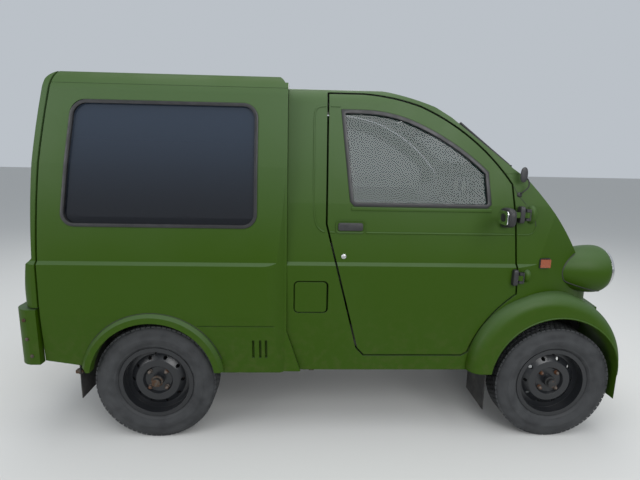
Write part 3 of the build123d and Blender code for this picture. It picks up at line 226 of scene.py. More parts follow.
class Shader:
    """Node tree of one material, built around its surface shader."""

    def __init__(self, name: str, colour: Colour, roughness: float, metallic: float = 0.0) -> None:
        """Start a material.

        Args:
            name: Name of the material.
            colour: Plain colour, used until a pattern is linked.
            roughness: Plain roughness.
            metallic: 1 for bare metal, 0 for the rest.
        """
        self.material = bpy.data.materials.new(name)
        self.material.use_nodes = True
        self.tree = self.material.node_tree
        self.surface = self.tree.nodes["Principled BSDF"]
        self.set("Base Color", (*colour, 1.0))
        self.set("Roughness", roughness)
        self.set("Metallic", metallic)
        self.where = self.tree.nodes.new("ShaderNodeTexCoord").outputs

    def set(self, socket: str, value: object) -> None:
        """Put a constant on the surface shader's own socket."""
        self.surface.inputs[socket].default_value = value

    def join(self, source: Socket, socket: str) -> None:
        """Link an output to a socket of the surface shader."""
        self.tree.links.new(source, self.surface.inputs[socket])

    def node(self, kind: str, inputs: dict[int | str, object], **settings: object) -> bpy.types.Node:
        """Add a node.

        Args:
            kind: Its type, without the leading ShaderNode.
            inputs: A socket or a constant for each input.
            settings: Its other settings.

        Returns:
            The node.
        """
        node = self.tree.nodes.new(f"ShaderNode{kind}")
        for name, value in settings.items():
            setattr(node, name, value)
        for key, value in inputs.items():
            if isinstance(value, Socket):
                self.tree.links.new(value, node.inputs[key])
            else:
                node.inputs[key].default_value = value
        return node

    def noise(self, scale: float, detail: float) -> Socket:
        """Soft mottling from 0 to 1, from its patches per metre and its finer octaves."""
        inputs = {"Vector": self.where["Object"], "Scale": scale, "Detail": detail}
        return self.node("TexNoise", inputs).outputs["Fac"]

    def sum(self, operation: str, first: object, second: object) -> Socket:
        """One arithmetic step on two sockets or numbers."""
        return self.node("Math", {0: first, 1: second}, operation=operation).outputs["Value"]

    def upright(self, coordinates: str) -> Socket:
        """Vertical part of Object coordinates, which is the height, or of the Normal."""
        return self.node("SeparateXYZ", {"Vector": self.where[coordinates]}).outputs["Z"]

    def weave(self, scale: float) -> Socket:
        """Crossed threads.

        Args:
            scale: Threads per metre.

        Returns:
            A factor of 0 to 1.
        """
        inputs = {"Vector": self.where["Object"], "Scale": scale, "Distortion": 0.6}
        bands = [self.node("TexWave", inputs, bands_direction=axis).outputs["Fac"] for axis in "XY"]
        return self.sum("MAXIMUM", *bands)

    def limits(self, source: Socket, low: float, high: float, to_low: float = 0.0, to_high: float = 1.0) -> Socket:
        """Remap a factor smoothly from the range low to high onto the range to_low to to_high."""
        inputs = {"Value": source, "From Min": low, "From Max": high, "To Min": to_low, "To Max": to_high}
        return self.node("MapRange", inputs, interpolation_type="SMOOTHSTEP").outputs["Result"]

    def mix(self, factor: object, first: object, second: object) -> Socket:
        """Blend two colours or sockets by a factor, 0 for the first and 1 for the second."""
        first, second = (value if isinstance(value, Socket) else (*value, 1.0) for value in (first, second))
        return self.node("Mix", {0: factor, 6: first, 7: second}, data_type="RGBA").outputs[2]

    def relief(self, pattern: Socket, depth: float, strength: float, edge: float = 0.0) -> None:
        """Raise the surface by a pattern, over softened edges.

        Args:
            pattern: Height pattern of 0 to 1.
            depth: Height in metres.
            strength: Share of the effect.
            edge: Radius that sharp edges seem to have, in metres.
        """
        inputs = {"Distance": depth, "Strength": strength, "Height": pattern}
        if edge:
            inputs["Normal"] = self.node("Bevel", {"Radius": edge}, samples=4).outputs["Normal"]
        self.join(self.node("Bump", inputs).outputs["Normal"], "Normal")


@dataclass(frozen=True)
class Paint:
    """Sprayed panels with a painted sky reflection that makes them paler higher up and where they face the sky, and
    with dust that gathers low down.
    """

    colour: Colour
    # Paler tone of the painted sky reflection, blended in higher up and on faces turned to the sky.
    faded: Colour
    dust: Colour = (0.13, 0.12, 0.08)
    roughness: float = 0.45
    dust_heights: Flat = (0.75, 0.25)
    dust_share: float = 0.22
    edge: float = 0.004
    level: float = 0.15
    # Heights over which the painted sky reflection rises, how it eases off on the roof's crown, and how much of it
    # faces turned upwards get.
    fade_heights: Flat = (0.8, 1.55)
    crown_heights: Flat = (1.55, 1.64)
    crown_share: float = 0.3
    sky_share: float = 0.8

    def build(self, name: str) -> bpy.types.Material:
        """Make the material.

        Args:
            name: Name of the material.

        Returns:
            The material.
        """
        shader = Shader(name, self.colour, self.roughness)
        height = shader.upright("Object")
        # Painted sky reflection: it rises with height and on faces turned up, eases off on the roof's crown, and
        # blends the paint towards its paler tone.
        painted_sky_mask = shader.limits(height, *self.fade_heights)
        painted_skyward_mask = shader.limits(shader.upright("Normal"), 0, 0.8, 0, self.sky_share)
        crown = shader.limits(height, *self.crown_heights, 1, self.crown_share)
        painted_sky_mask = shader.sum("MULTIPLY", shader.sum("MAXIMUM", painted_sky_mask, painted_skyward_mask), crown)
        blotch = shader.limits(shader.noise(2.3, 4), 0.2, 0.8, -0.05, 0.05)
        tone = shader.mix(shader.sum("ADD", painted_sky_mask, blotch), self.colour, self.faded)
        speckle = shader.limits(shader.noise(38, 6), 0.42, 0.75)
        low = shader.sum("MULTIPLY", shader.limits(height, *self.dust_heights), speckle)
        shader.join(shader.mix(shader.sum("MULTIPLY", low, self.dust_share), tone, self.dust), "Base Color")
        gloss = shader.limits(shader.noise(7, 5), 0.3, 0.75, self.roughness - 0.05, self.roughness + 0.09)
        shader.join(gloss, "Roughness")
        shader.set("Specular IOR Level", self.level)
        shader.relief(shader.noise(420, 2), 0.0003, 0.25, self.edge)
        return shader.material


@dataclass(frozen=True)
class Steel:
    """Painted or bare steel with rust and road dust in patches."""

    colour: Colour
    rust: Colour = (0.13, 0.052, 0.022)
    roughness: float = 0.5
    metallic: float = 0.0
    rust_from: float = 0.62
    grain: float = 60.0
    edge: float = 0.002

    def build(self, name: str) -> bpy.types.Material:
        """Make the material.

        Args:
            name: Name of the material.

        Returns:
            The material.
        """
        shader = Shader(name, self.colour, self.roughness, self.metallic)
        patch = shader.limits(shader.noise(self.grain, 6), self.rust_from, self.rust_from + 0.14)
        shader.join(shader.mix(patch, self.colour, self.rust), "Base Color")
        shader.join(shader.limits(patch, 0, 1, self.roughness, 0.9), "Roughness")
        shader.relief(shader.noise(self.grain * 6, 4), 0.0006, 0.4, self.edge)
        return shader.material


@dataclass(frozen=True)
class Moulded:
    """Grained plastic or rubber."""

    colour: Colour
    worn: Colour
    roughness: float = 0.55
    grain: float = 900.0
    depth: float = 0.0004
    edge: float = 0.0015

    def build(self, name: str) -> bpy.types.Material:
        """Make the material.

        Args:
            name: Name of the material.

        Returns:
            The material.
        """
        shader = Shader(name, self.colour, self.roughness)
        tone = shader.mix(shader.limits(shader.noise(14, 5), 0.4, 0.75), self.colour, self.worn)
        shader.join(tone, "Base Color")
        gloss = shader.limits(shader.noise(30, 3), 0.3, 0.8, self.roughness - 0.08, self.roughness + 0.12)
        shader.join(gloss, "Roughness")
        shader.relief(shader.noise(self.grain, 2), self.depth, 0.5, self.edge)
        return shader.material


@dataclass(frozen=True)
class TyreRubber:
    """Tyre rubber, greyed by dust on its side walls."""

    colour: Colour = (0.013, 0.014, 0.016)
    dusty: Colour = (0.040, 0.042, 0.044)

    def build(self, name: str) -> bpy.types.Material:
        """Make the material.

        Args:
            name: Name of the material.

        Returns:
            The material.
        """
        shader = Shader(name, self.colour, 0.75)
        film = shader.limits(shader.noise(22, 6), 0.3, 0.75)
        shader.join(shader.mix(film, self.colour, self.dusty), "Base Color")
        shader.join(shader.limits(film, 0, 1, 0.62, 0.88), "Roughness")
        shader.relief(shader.noise(300, 3), 0.0004, 0.5)
        return shader.material


@dataclass(frozen=True)
class Pane:
    """Window or lamp glass that lets light straight through."""

    tint: Colour
    alpha: float
    roughness: float = 0.02
    level: float = 0.5
    coat: float = 0.0
    # Paler, bluer tint of a painted sky reflection on the upper glass, or None for no painted reflection.
    high_tint: Colour | None = None

    def build(self, name: str) -> bpy.types.Material:
        """Make the material.

        Args:
            name: Name of the material.

        Returns:
            The material.
        """
        shader = Shader(name, self.tint, self.roughness)
        film = shader.limits(shader.noise(9, 5), 0.45, 0.8, self.roughness, self.roughness + 0.06)
        shader.join(film, "Roughness")
        # Painted sky reflection: the glass turns to a paler, bluer tint higher up.
        if self.high_tint:
            painted_sky_mask = shader.limits(shader.upright("Object"), 1.0, 1.5)
            shader.join(shader.mix(painted_sky_mask, self.tint, self.high_tint), "Base Color")
        shader.set("Specular IOR Level", self.level)
        shader.set("Coat Weight", self.coat)
        shader.set("Alpha", self.alpha)
        return shader.material


@dataclass(frozen=True)
class Lens:
    """Coloured lamp plastic with fine prisms."""

    colour: Colour
    deep: Colour
    prisms: float = 180.0

    def build(self, name: str) -> bpy.types.Material:
        """Make the material.

        Args:
            name: Name of the material.

        Returns:
            The material.
        """
        shader = Shader(name, self.colour, 0.12)
        cells = shader.weave(self.prisms)
        shader.join(shader.mix(cells, self.deep, self.colour), "Base Color")
        shader.set("Coat Weight", 0.8)
        shader.relief(cells, 0.0012, 0.6)
        return shader.material


@dataclass(frozen=True)
class Woven:
    """Seat cloth with a weave and a little sheen."""

    colour: Colour
    thread: Colour
    threads: float = 420.0

    def build(self, name: str) -> bpy.types.Material:
        """Make the material.

        Args:
            name: Name of the material.

        Returns:
            The material.
        """
        shader = Shader(name, self.colour, 0.9)
        weave = shader.weave(self.threads)
        fade = shader.sum("MULTIPLY", shader.limits(shader.noise(6, 4), 0.3, 0.8), 0.4)
        tone = shader.mix(weave, self.colour, self.thread)
        shader.join(shader.mix(fade, tone, self.thread), "Base Color")
        shader.set("Sheen Weight", 0.3)
        shader.relief(weave, 0.0006, 0.6)
        return shader.material


FINISHES = {
    # Each Paint's second colour is the paler tone of its painted sky reflection; the third, where given, is its dust.
    Look.BODY: Paint((0.025, 0.061, 0.001), (0.055, 0.097, 0.037), (0.080, 0.078, 0.030)),
    Look.UNDERBODY: Paint((0.016, 0.017, 0.016), (0.022, 0.022, 0.020), roughness=0.7, dust_share=0.6),
    Look.CHASSIS: Steel((0.014, 0.014, 0.014), roughness=0.6, rust_from=0.58),
    Look.BRIGHT: Steel((0.62, 0.62, 0.62), (0.4, 0.39, 0.37), 0.12, 1.0, 0.66, 90.0),
    Look.LAMP_GLASS: Pane((0.75, 0.8, 0.8), 0.22, 0.02, 0.8, 1.0),
    Look.AMBER: Lens((0.24, 0.052, 0.012), (0.16, 0.022, 0.008)),
    Look.RED: Lens((0.5, 0.012, 0.01), (0.22, 0.004, 0.004)),
    Look.CLEAR_GLASS: Pane((0.010, 0.030, 0.026), 0.5),
    # Dark glass with a painted sky reflection that turns it paler and bluer higher up.
    Look.DARK_GLASS: Pane((0.005, 0.006, 0.009), 0.96, high_tint=(0.022, 0.032, 0.050)),
    Look.TRIM: Moulded((0.012, 0.012, 0.013), (0.022, 0.022, 0.024), 0.5),
    Look.PLATE: Paint((0.75, 0.50, 0.03), (0.75, 0.50, 0.04), dust_share=0.08, edge=0.0008),
    Look.FLAP: Moulded((0.014, 0.014, 0.014), (0.035, 0.033, 0.03), 0.75, 300.0),
    Look.CAST: Steel((0.06, 0.06, 0.058), roughness=0.65, rust_from=0.6, grain=30.0),
    Look.EXHAUST: Steel((0.12, 0.10, 0.085), roughness=0.6, metallic=0.6, rust_from=0.48, grain=25.0),
    Look.CABIN: Moulded((0.035, 0.037, 0.04), (0.05, 0.052, 0.055), 0.6),
    Look.CLOTH: Woven((0.035, 0.037, 0.042), (0.075, 0.078, 0.085)),
    Look.WHEEL: Steel((0.012, 0.013, 0.015), (0.045, 0.032, 0.024), 0.30, 0.0, 0.68, 45.0),
    Look.TYRE: TyreRubber(),
    Look.SEAL: Moulded((0.010, 0.010, 0.011), (0.018, 0.018, 0.02), 0.45, 600.0, 0.0002),
    Look.PALE: Moulded((0.5, 0.49, 0.43), (0.42, 0.41, 0.36), 0.5),
    Look.RUST: Steel((0.075, 0.060, 0.048), (0.070, 0.038, 0.020), 0.6, 0.4, 0.45, 60.0),
    Look.REFLECTOR: Steel((0.8, 0.8, 0.8), (0.75, 0.75, 0.74), 0.08, 1.0, 0.7),
    Look.MIRROR_GLASS: Steel((0.85, 0.87, 0.88), (0.8, 0.82, 0.84), 0.02, 1.0, 0.8),
}
SLOTS = {row["slot"] for row in frame["record"]["materials"]}
MATERIALS = {look: finish.build(look.value) for look, finish in FINISHES.items()}
WHEEL_PLACES = ("front_right", "front_left", "rear_right", "rear_left")


def pour(part: bmesh.types.BMesh, target: bmesh.types.BMesh) -> None:
    """Move one mesh under construction into another.

    Args:
        part: Mesh that is used up.
        target: Mesh that it is added to.
    """
    holder = bpy.data.meshes.new("holder")
    part.to_mesh(holder)
    part.free()
    target.from_mesh(holder)
    bpy.data.meshes.remove(holder)


def rounded_cube(power: float, cells: int) -> bmesh.types.BMesh:
    """Make a cube of half size 1 whose corners and faces are all rounded.

    Args:
        power: 2 for a ball; the higher, the squarer.
        cells: Cuts along each edge.

    Returns:
        The mesh.
    """
    part = bmesh.new()
    bmesh.ops.create_cube(part, size=2)
    bmesh.ops.subdivide_edges(part, edges=part.edges, cuts=cells, use_grid_fill=True)
    for vert in part.verts:
        length = sum(abs(value) ** power for value in vert.co) ** (1 / power)
        vert.co *= max(abs(value) for value in vert.co) / length
    return part


class Shape:
    """A mesh under construction, in the truck's frame."""

    def __init__(self) -> None:
        """Start with no geometry."""
        self.mesh = bmesh.new()

    def block(self, low: Point, high: Point) -> "Shape":
        """Add a box.

        Args:
            low: Lowest corner.
            high: Highest corner.

        Returns:
            This shape.
        """
        low, high = Vector(low), Vector(high)
        place = Matrix.Translation((low + high) / 2) @ Matrix.Diagonal((*(high - low), 1))
        bmesh.ops.create_cube(self.mesh, size=1, matrix=place)
        return self

    def items(self) -> list[bmesh.types.BMVert | bmesh.types.BMEdge | bmesh.types.BMFace]:
        """All geometry of the shape."""
        return [*self.mesh.verts, *self.mesh.edges, *self.mesh.faces]

    def rod(self, start: Point, end: Point, radius: float, end_radius: float | None = None,
            sides: int = 24) -> "Shape":
        """Add a round or many-sided bar.

        Args:
            start: Centre of the first end.
            end: Centre of the other end.
            radius: Radius at the first end.
            end_radius: Radius at the other end, or None for the same.
            sides: Sides round the bar.

        Returns:
            This shape.
        """
        start, way = Vector(start), Vector(end) - Vector(start)
        place = Matrix.Translation(start + way / 2) @ way.to_track_quat("Z", "Y").to_matrix().to_4x4()
        bmesh.ops.create_cone(self.mesh, cap_ends=True, segments=sides, radius1=radius,
                              radius2=radius if end_radius is None else end_radius, depth=way.length, matrix=place)
        return self

    def stack(self, base: Point, way: Point, rows: Sequence[Bar]) -> "Shape":
        """Add bars on one axis.

        Args:
            base: Point on the axis that distances count from.
            way: Direction of the axis.
            rows: Each bar's two distances along the axis, its radius at both, and its sides.

        Returns:
            This shape.
        """
        base, way = Vector(base), Vector(way)
        for near, far, *rod in rows:
            self.rod(base + way * near, base + way * far, *rod)
        return self

    def bars(self, points: list[Point], radius: float) -> "Shape":
        """Add eight-sided bars from point to point.

        Args:
            points: Ends of the bars in order.
            radius: Their radius.

        Returns:
            This shape.
        """
        for first, last in zip(points, points[1:]):
            self.rod(first, last, radius, sides=8)
        return self

    def ball(self, centre: Point, radii: Point, rings: int = 16) -> "Shape":
        """Add a ball stretched along the axes.

        Args:
            centre: Middle of the ball.
            radii: Half of its size along each axis.
            rings: Rings from pole to pole.

        Returns:
            This shape.
        """
        place = Matrix.Translation(centre) @ Matrix.Diagonal((*radii, 1))
        bmesh.ops.create_uvsphere(self.mesh, u_segments=rings * 2, v_segments=rings, radius=1, matrix=place)
        return self

    def lathe(self, profile: Path, centre: Point = (0, 0, 0), axis: Point = (1, 0, 0),
              out: Point = (0, 0, 1), steps: int = 72) -> "Shape":
        """Add a turned shape.

        Args:
            profile: Pairs of a distance along the axis and a radius.
            centre: Point on the axis that distances count from.
            axis: Direction of the axis.
            out: Direction of the radius in the profile's plane.
            steps: Steps round the axis.

        Returns:
            This shape.
        """
        centre, axis, out = Vector(centre), Vector(axis), Vector(out)
        verts = [self.mesh.verts.new(centre + axis * along + out * radius) for along, radius in profile]
        edges = [self.mesh.edges.new(pair) for pair in zip(verts, verts[1:])]
        bmesh.ops.spin(self.mesh, geom=verts + edges, cent=centre, axis=axis, angle=math.tau, steps=steps,
                       use_merge=True)
        return self

    def pillow(self, low: Point, high: Point, power: float, cells: int) -> "Shape":
        """Add a block whose corners and faces are all rounded.

        Args:
            low: Lowest corner.
            high: Highest corner.
            power: 2 for a ball; the higher, the squarer.
            cells: Cuts along each edge.

        Returns:
            This shape.
        """
        part = rounded_cube(power, cells)
        middle, half = (Vector(low) + Vector(high)) / 2, (Vector(high) - Vector(low)) / 2
        for vert in part.verts:
            vert.co = middle + half * vert.co
        pour(part, self.mesh)
        return self

    def panel(self, corners: list[Point], radius: float = 0.0, segments: int = 6) -> bmesh.types.BMFace:
        """Add a flat face with rounded corners.

        Args:
            corners: Corner points in order.
            radius: Radius of the corners.
            segments: Steps round each corner.

        Returns:
            The face.
        """
        verts = [self.mesh.verts.new(corner) for corner in corners]
        face = self.mesh.faces.new(verts)
        if radius:
            bmesh.ops.bevel(self.mesh, geom=verts, offset=radius, offset_type="OFFSET", affect="VERTICES",
                            segments=segments, profile=0.5, material=-1)
            face = max(self.mesh.faces, key=lambda item: item.calc_area())
        return face

    def thicken(self, faces: list[bmesh.types.BMFace], way: Point) -> list[bmesh.types.BMVert]:
        """Extrude faces along a direction.

        Args:
            faces: Faces to extrude.
            way: Vector that they move by.

        Returns:
            The moved vertices.
        """
        made = bmesh.ops.extrude_face_region(self.mesh, geom=faces)["geom"]
        moved = [item for item in made if isinstance(item, bmesh.types.BMVert)]
        bmesh.ops.translate(self.mesh, vec=way, verts=moved)
        return moved

    def plate(self, corners: list[Point], radius: float, segments: int, way: Point) -> "Shape":
        """Add a panel of given corners, radius and segments, thickened along a vector."""
        self.thicken([self.panel(corners, radius, segments)], way)
        return self

    def soften(self, width: float, segments: int = 2, angle: float = 30.0) -> "Shape":
        """Round every edge sharper than an angle.

        Args:
            width: Width of the rounding.
            segments: Steps across it.
            angle: Least angle in degrees of an edge that is rounded.

        Returns:
            This shape.
        """
        bmesh.ops.recalc_face_normals(self.mesh, faces=self.mesh.faces)
        sharp = [edge for edge in self.mesh.edges
                 if edge.is_manifold and edge.calc_face_angle(0) > math.radians(angle)]
        bmesh.ops.bevel(self.mesh, geom=sharp, offset=width, offset_type="OFFSET", affect="EDGES",
                        segments=segments, profile=0.5, material=-1, clamp_overlap=True)
        return self

    def turned(self, turn: Matrix) -> "Shape":
        """Turn or mirror the whole shape."""
        bmesh.ops.transform(self.mesh, matrix=turn, verts=self.mesh.verts)
        return self

    def copies(self, turns: list[Matrix]) -> "Shape":
        """Replace the shape by copies of it.

        Args:
            turns: Transform of each copy.

        Returns:
            This shape.
        """
        first = self.items()
        for turn in turns[1:]:
            made = bmesh.ops.duplicate(self.mesh, geom=first)["geom"]
            moved = [item for item in made if isinstance(item, bmesh.types.BMVert)]
            bmesh.ops.transform(self.mesh, matrix=turn, verts=moved)
        moved = [item for item in first if isinstance(item, bmesh.types.BMVert)]
        bmesh.ops.transform(self.mesh, matrix=turns[0], verts=moved)
        return self

    def finish(self, name: str, look: Look, body: str = "body", smooth: float = 35.0) -> bpy.types.Object:
        """Turn the shape into a finished piece that rides on a body.

        Args:
            name: Name of the piece.
            look: Its finish.
            body: Body that it moves with.
            smooth: Angle in degrees below which faces shade smoothly.

        Returns:
            The piece.
        """
        bmesh.ops.remove_doubles(self.mesh, verts=self.mesh.verts, dist=1e-6)
        bmesh.ops.recalc_face_normals(self.mesh, faces=self.mesh.faces)
        data = bpy.data.meshes.new(name)
        self.mesh.to_mesh(data)
        self.mesh.free()
        data.shade_smooth()
        data.set_sharp_from_angle(angle=math.radians(smooth))
        return place_piece(name, data, look, body)


def link(name: str, data: bpy.types.ID) -> bpy.types.Object:
    """Put an object in the scene.

    Args:
        name: Name of the object.
        data: Its mesh, curve, camera or light.

    Returns:
        The object.
    """
    thing = bpy.data.objects.new(name, data)
    bpy.context.scene.collection.objects.link(thing)
    return thing


def place_piece(name: str, data: bpy.types.Mesh, look: Look, body: str) -> bpy.types.Object:
    """Put a mesh in the scene as a piece.

    Args:
        name: Name of the piece.
        data: Its mesh, in the truck's frame.
        look: Its finish.
        body: Body that it moves with.

    Returns:
        The piece.
    """
    piece = link(name, data)
    data.materials.clear()
    data.materials.append(MATERIALS[look])
    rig.ride(piece, body)
    if look.value in SLOTS:
        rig.slot(piece, look.value)
    LOG.info("piece %s: %d faces", name, len(data.polygons))
    return piece


def wire(name: str, points: list[Point], radius: float, look: Look, body: str = "body") -> bpy.types.Object:
    """Make a bent round strip along a smooth line.

    Args:
        name: Name of the piece.
        points: Points that lead the line.
        radius: Half of its thickness.
        look: Its finish.
        body: Body that it moves with.

    Returns:
        The piece.
    """
    curve = bpy.data.curves.new(name, "CURVE")
    curve.dimensions = "3D"
    curve.bevel_depth = radius
    curve.bevel_resolution = 3
    curve.use_fill_caps = True
    line = curve.splines.new("NURBS")
    line.points.add(len(points) - 1)
    for target, point in zip(line.points, points):
        target.co = (*point, 1)
    line.order_u = 3
    line.use_endpoint_u = True
    line.resolution_u = 6
    holder = link(name, curve)
    data = bpy.data.meshes.new_from_object(holder)
    bpy.data.objects.remove(holder)
    bpy.data.curves.remove(curve)
    data.name = name
    data.shade_smooth()
    return place_piece(name, data, look, body)


def circle(start: Flat, middle: Flat, end: Flat) -> tuple[Vector, float]:
    """Circle through three points.

    Args:
        start: First point.
        middle: Second point.
        end: Third point.

    Returns:
        Its centre and its radius.
    """
    (ax, ay), (bx, by), (cx, cy) = start, middle, end
    span = 2 * (ax * (by - cy) + bx * (cy - ay) + cx * (ay - by))
    a, b, c = ax ** 2 + ay ** 2, bx ** 2 + by ** 2, cx ** 2 + cy ** 2
    centre = Vector(((a * (by - cy) + b * (cy - ay) + c * (ay - by)) / span,
                     (a * (cx - bx) + b * (ax - cx) + c * (bx - ax)) / span))
    return centre, (Vector(start) - centre).length


def arc(start: Flat, middle: Flat, end: Flat, steps: int) -> list[Flat]:
    """Points along the circle arc through three points.

    Args:
        start: First end.
        middle: Point on the way.
        end: Other end.
        steps: Number of steps.

    Returns:
        The points, both ends with them.
    """
    centre, radius = circle(start, middle, end)
    first, via, last = (math.atan2(y - centre.y, x - centre.x) for x, y in (start, middle, end))
    sweep = (last - first) % math.tau
    if (via - first) % math.tau > sweep:
        sweep -= math.tau
    return around(centre, radius, [first + sweep * step / steps for step in range(steps + 1)])


def around(centre: Flat, radius: float, angles: list[float]) -> list[Flat]:
    """Points of a circle at some angles."""
    return [(centre[0] + radius * math.cos(angle), centre[1] + radius * math.sin(angle)) for angle in angles]


def oblong(low: Flat, high: Flat) -> list[Flat]:
    """Corners of an upright rectangle, in order, from its lowest and its highest corner."""
    return [low, (high[0], low[1]), high, (low[0], high[1])]


def touch(nodes: tuple[str, ...], start: Point, way: Point) -> tuple[Vector, Vector]:
    """Find where a line first meets one of some carried-over nodes.

    Args:
        nodes: Names of the nodes.
        start: Where the line starts.
        way: Its direction.

    Returns:
        The point, and the surface's normal on the side of the start.

    Raises:
        ValueError: If the line meets none of them.
    """
    start, way = Vector(start), Vector(way)
    hits = []
    for thing in (frame["nodes"][node] for node in nodes):
        home = thing.matrix_world
        back = home.inverted()
        hit, point, normal, _ = thing.ray_cast(back @ start, back.to_3x3() @ way)
        if hit:
            normal = (home.to_3x3() @ normal).normalized()
            hits.append((home @ point, -normal if normal.dot(way) > 0 else normal))
    if not hits:
        raise ValueError(f"no {nodes} at {tuple(start)}")
    return min(hits, key=lambda found: (found[0] - start).length)


def laid(nodes: tuple[str, ...], path: Path, side: Side, out: float) -> list[Point]:
    """Lay a side-view path of x and z on the outer face of some nodes, standing off it by a distance."""
    found = [touch(nodes, (x, side, z), (0, -side, 0)) for x, z in path]
    return [tuple(point + normal * out) for point, normal in found]


def between(stations: Path, at: float) -> float:
    """Value at a place among rising stations, held beyond the last one.

    Args:
        stations: Pairs of a place and a value.
        at: The place.

    Returns:
        The value.
    """
    for (low, first), (high, last) in zip(stations, stations[1:]):
        if at <= high:
            return first + (last - first) * (at - low) / (high - low)
    return stations[-1][1]


@dataclass(frozen=True)
class Skin:
    """Side wall of the body, by its half-width at each height."""

    stations: tuple[Flat, ...]

    def half(self, height: float) -> float:
        """Half-width at a height."""
        return between(self.stations, height)

    def point(self, x: float, z: float, side: Side, out: float) -> Point:
        """Point of one side's wall, moved out."""
        return (x, side * (self.half(z) + out), z)

    def wall(self, side: Side) -> Placer:
        """Placer on one side's wall."""
        return lambda x, z, out: self.point(x, z, side, out)


CAB_SKIN = Skin(((0.328, 0.585), (0.828, 0.604), (0.842, 0.592), (1.1, 0.575), (1.53, 0.505)))
BOX_SKIN = Skin(((0.328, 0.615), (0.6, 0.632), (0.828, 0.635), (0.842, 0.623), (1.25, 0.600), (1.54, 0.562)))
SCREEN_AXIS_X = -0.600
SCREEN_FOOT = (0.902, 1.262)
SCREEN_SLOPE = 0.274 / 0.216
SCREEN_NORMAL = (0.619, 0.785)
TAIL_CENTRE, TAIL_RADIUS = circle((-1.188, 1.590), (-1.243, 1.255), (-1.271, 0.852))
REAR_X, REAR_BOW, REAR_HALF = -1.395, 0.025, 0.560
AHEAD = 1.5
NOSE = ("nose_panel", "cab_shell")


def screen_point(y: float, z: float, out: float = 0.0) -> Point:
    """Point of the windscreen's outer surface, moved out along its normal.

    Args:
        y: Place across the truck.
        z: Height.
        out: Distance that the point moves out.

    Returns:
        The point.
    """
    radius = SCREEN_FOOT[0] - (z - SCREEN_FOOT[1]) * SCREEN_SLOPE - SCREEN_AXIS_X
    x = math.sqrt(radius ** 2 - y ** 2)
    across, rise = SCREEN_NORMAL[0] * out / radius, SCREEN_NORMAL[1] * out
    return (SCREEN_AXIS_X + x * (1 + across), y * (1 + across), z + rise)


def tail_point(y: float, z: float, out: float = 0.0) -> Point:
    """Point of the hatch's outer surface over the belt, moved out along its normal.

    Args:
        y: Place across the truck.
        z: Height.
        out: Distance that the point moves out.

    Returns:
        The point.
    """
    x = TAIL_CENTRE.x - math.sqrt(TAIL_RADIUS ** 2 - (z - TAIL_CENTRE.y) ** 2)
    way = (Vector((x, z)) - TAIL_CENTRE).normalized() * out
    return (x + way.x, y, z + way.y)


def rear_bumper_point(y: float, z: float, out: float = 0.0) -> Point:
    """Point of the rear bumper's face, moved out."""
    return (REAR_X + REAR_BOW * (y / REAR_HALF) ** 2 - out, y, z)


def both_sides(build: Callable[[Side], None]) -> None:
    """Run a builder for the right side and then for the left."""
    for side in Side:
        build(side)


@dataclass
class Seal:
    """Rubber or metal frame laid round an opening in a curved face."""

    name: str
    body: str
    outline: Path
    place: Placer
    radius: float = 0.0
    width: float = 0.014
    proud: float = 0.003
    depth: float = 0.012
    look: Look = Look.SEAL
    breaks: tuple[float, ...] = ()
    step: float = 0.05
    rounding: float = 0.002

    def build(self) -> bpy.types.Object:
        """Make the frame.

        Returns:
            The piece.
        """
        shape = Shape()
        face = shape.panel([(a, 0, b) for a, b in self.outline], self.radius, 8)
        for edge in [edge for edge in face.edges if edge.calc_length() > self.step]:
            bmesh.ops.subdivide_edges(shape.mesh, edges=[edge], cuts=int(edge.calc_length() / self.step))
        shape.mesh.normal_update()
        face = max(shape.mesh.faces, key=lambda item: item.calc_area())
        bmesh.ops.inset_region(shape.mesh, faces=[face], thickness=self.width, use_even_offset=True,
                               use_boundary=True)
        bmesh.ops.delete(shape.mesh, geom=[face], context="FACES_ONLY")
        for height in self.breaks:
            bmesh.ops.bisect_plane(shape.mesh, geom=shape.items(), plane_co=(0, 0, height), plane_no=(0, 0, 1))
        raised = set(shape.thicken(list(shape.mesh.faces), (0, 1, 0)))
        for vert in shape.mesh.verts:
            vert.co = Vector(self.place(vert.co.x, vert.co.z, self.proud if vert in raised else -self.depth))
        return shape.soften(self.rounding, 2, 50).finish(self.name, self.look, self.body)


@dataclass
class Glazing:
    """Rubber round every window, and the drip lip at the foot of the hatch's."""

    box_window: Path = ((-1.079, 1.510), (-0.318, 1.510), (-0.324, 0.990), (-1.148, 0.990))
    box_break: float = 1.25
    door_foot: Path = ((0.032, 1.501), (0.076, 1.108), (0.096, 1.088), (0.684, 1.088), (0.702, 1.104))
    door_slant: Path = ((0.686, 1.246), (0.520, 1.372), (0.325, 1.468))
    door_top: Path = ((0.325, 1.468), (0.224, 1.493), (0.120, 1.501))
    door_break: float = 1.1
    screen: Path = ((-0.500, 1.272), (0.500, 1.272), (0.430, 1.466), (-0.430, 1.466))
    tail: Path = ((-0.480, 1.010), (0.480, 1.010), (0.425, 1.500), (-0.425, 1.500))
    drip: Path = ((-0.44, 1.000), (0.0, 1.000), (0.44, 1.000))

    def side_seals(self, side: Side) -> None:
        """Make the rubbers of one side.

        Args:
            side: Side of the truck.
        """
        Seal(f"cargo_seal_{side.word}", "body", self.box_window, BOX_SKIN.wall(side), 0.062,
             breaks=(self.box_break,)).build()
        door = [*self.door_foot, *arc(*self.door_slant, 8), *arc(*self.door_top, 4)[1:]]
        Seal(f"door_seal_{side.word}", side.door, door, CAB_SKIN.wall(side), width=0.017,
             breaks=(self.door_break,)).build()

    def build(self) -> None:
        """Make all rubbers."""
        both_sides(self.side_seals)
        Seal("screen_seal", "body", self.screen, screen_point, 0.035, 0.017, 0.004, 0.014, step=0.04).build()
        Seal("hatch_seal", "hatch", self.tail, tail_point, 0.060, 0.016, 0.004, 0.014).build()
        wire("hatch_window_drip", [tail_point(y, z) for y, z in self.drip], 0.0035, Look.BODY, "hatch")


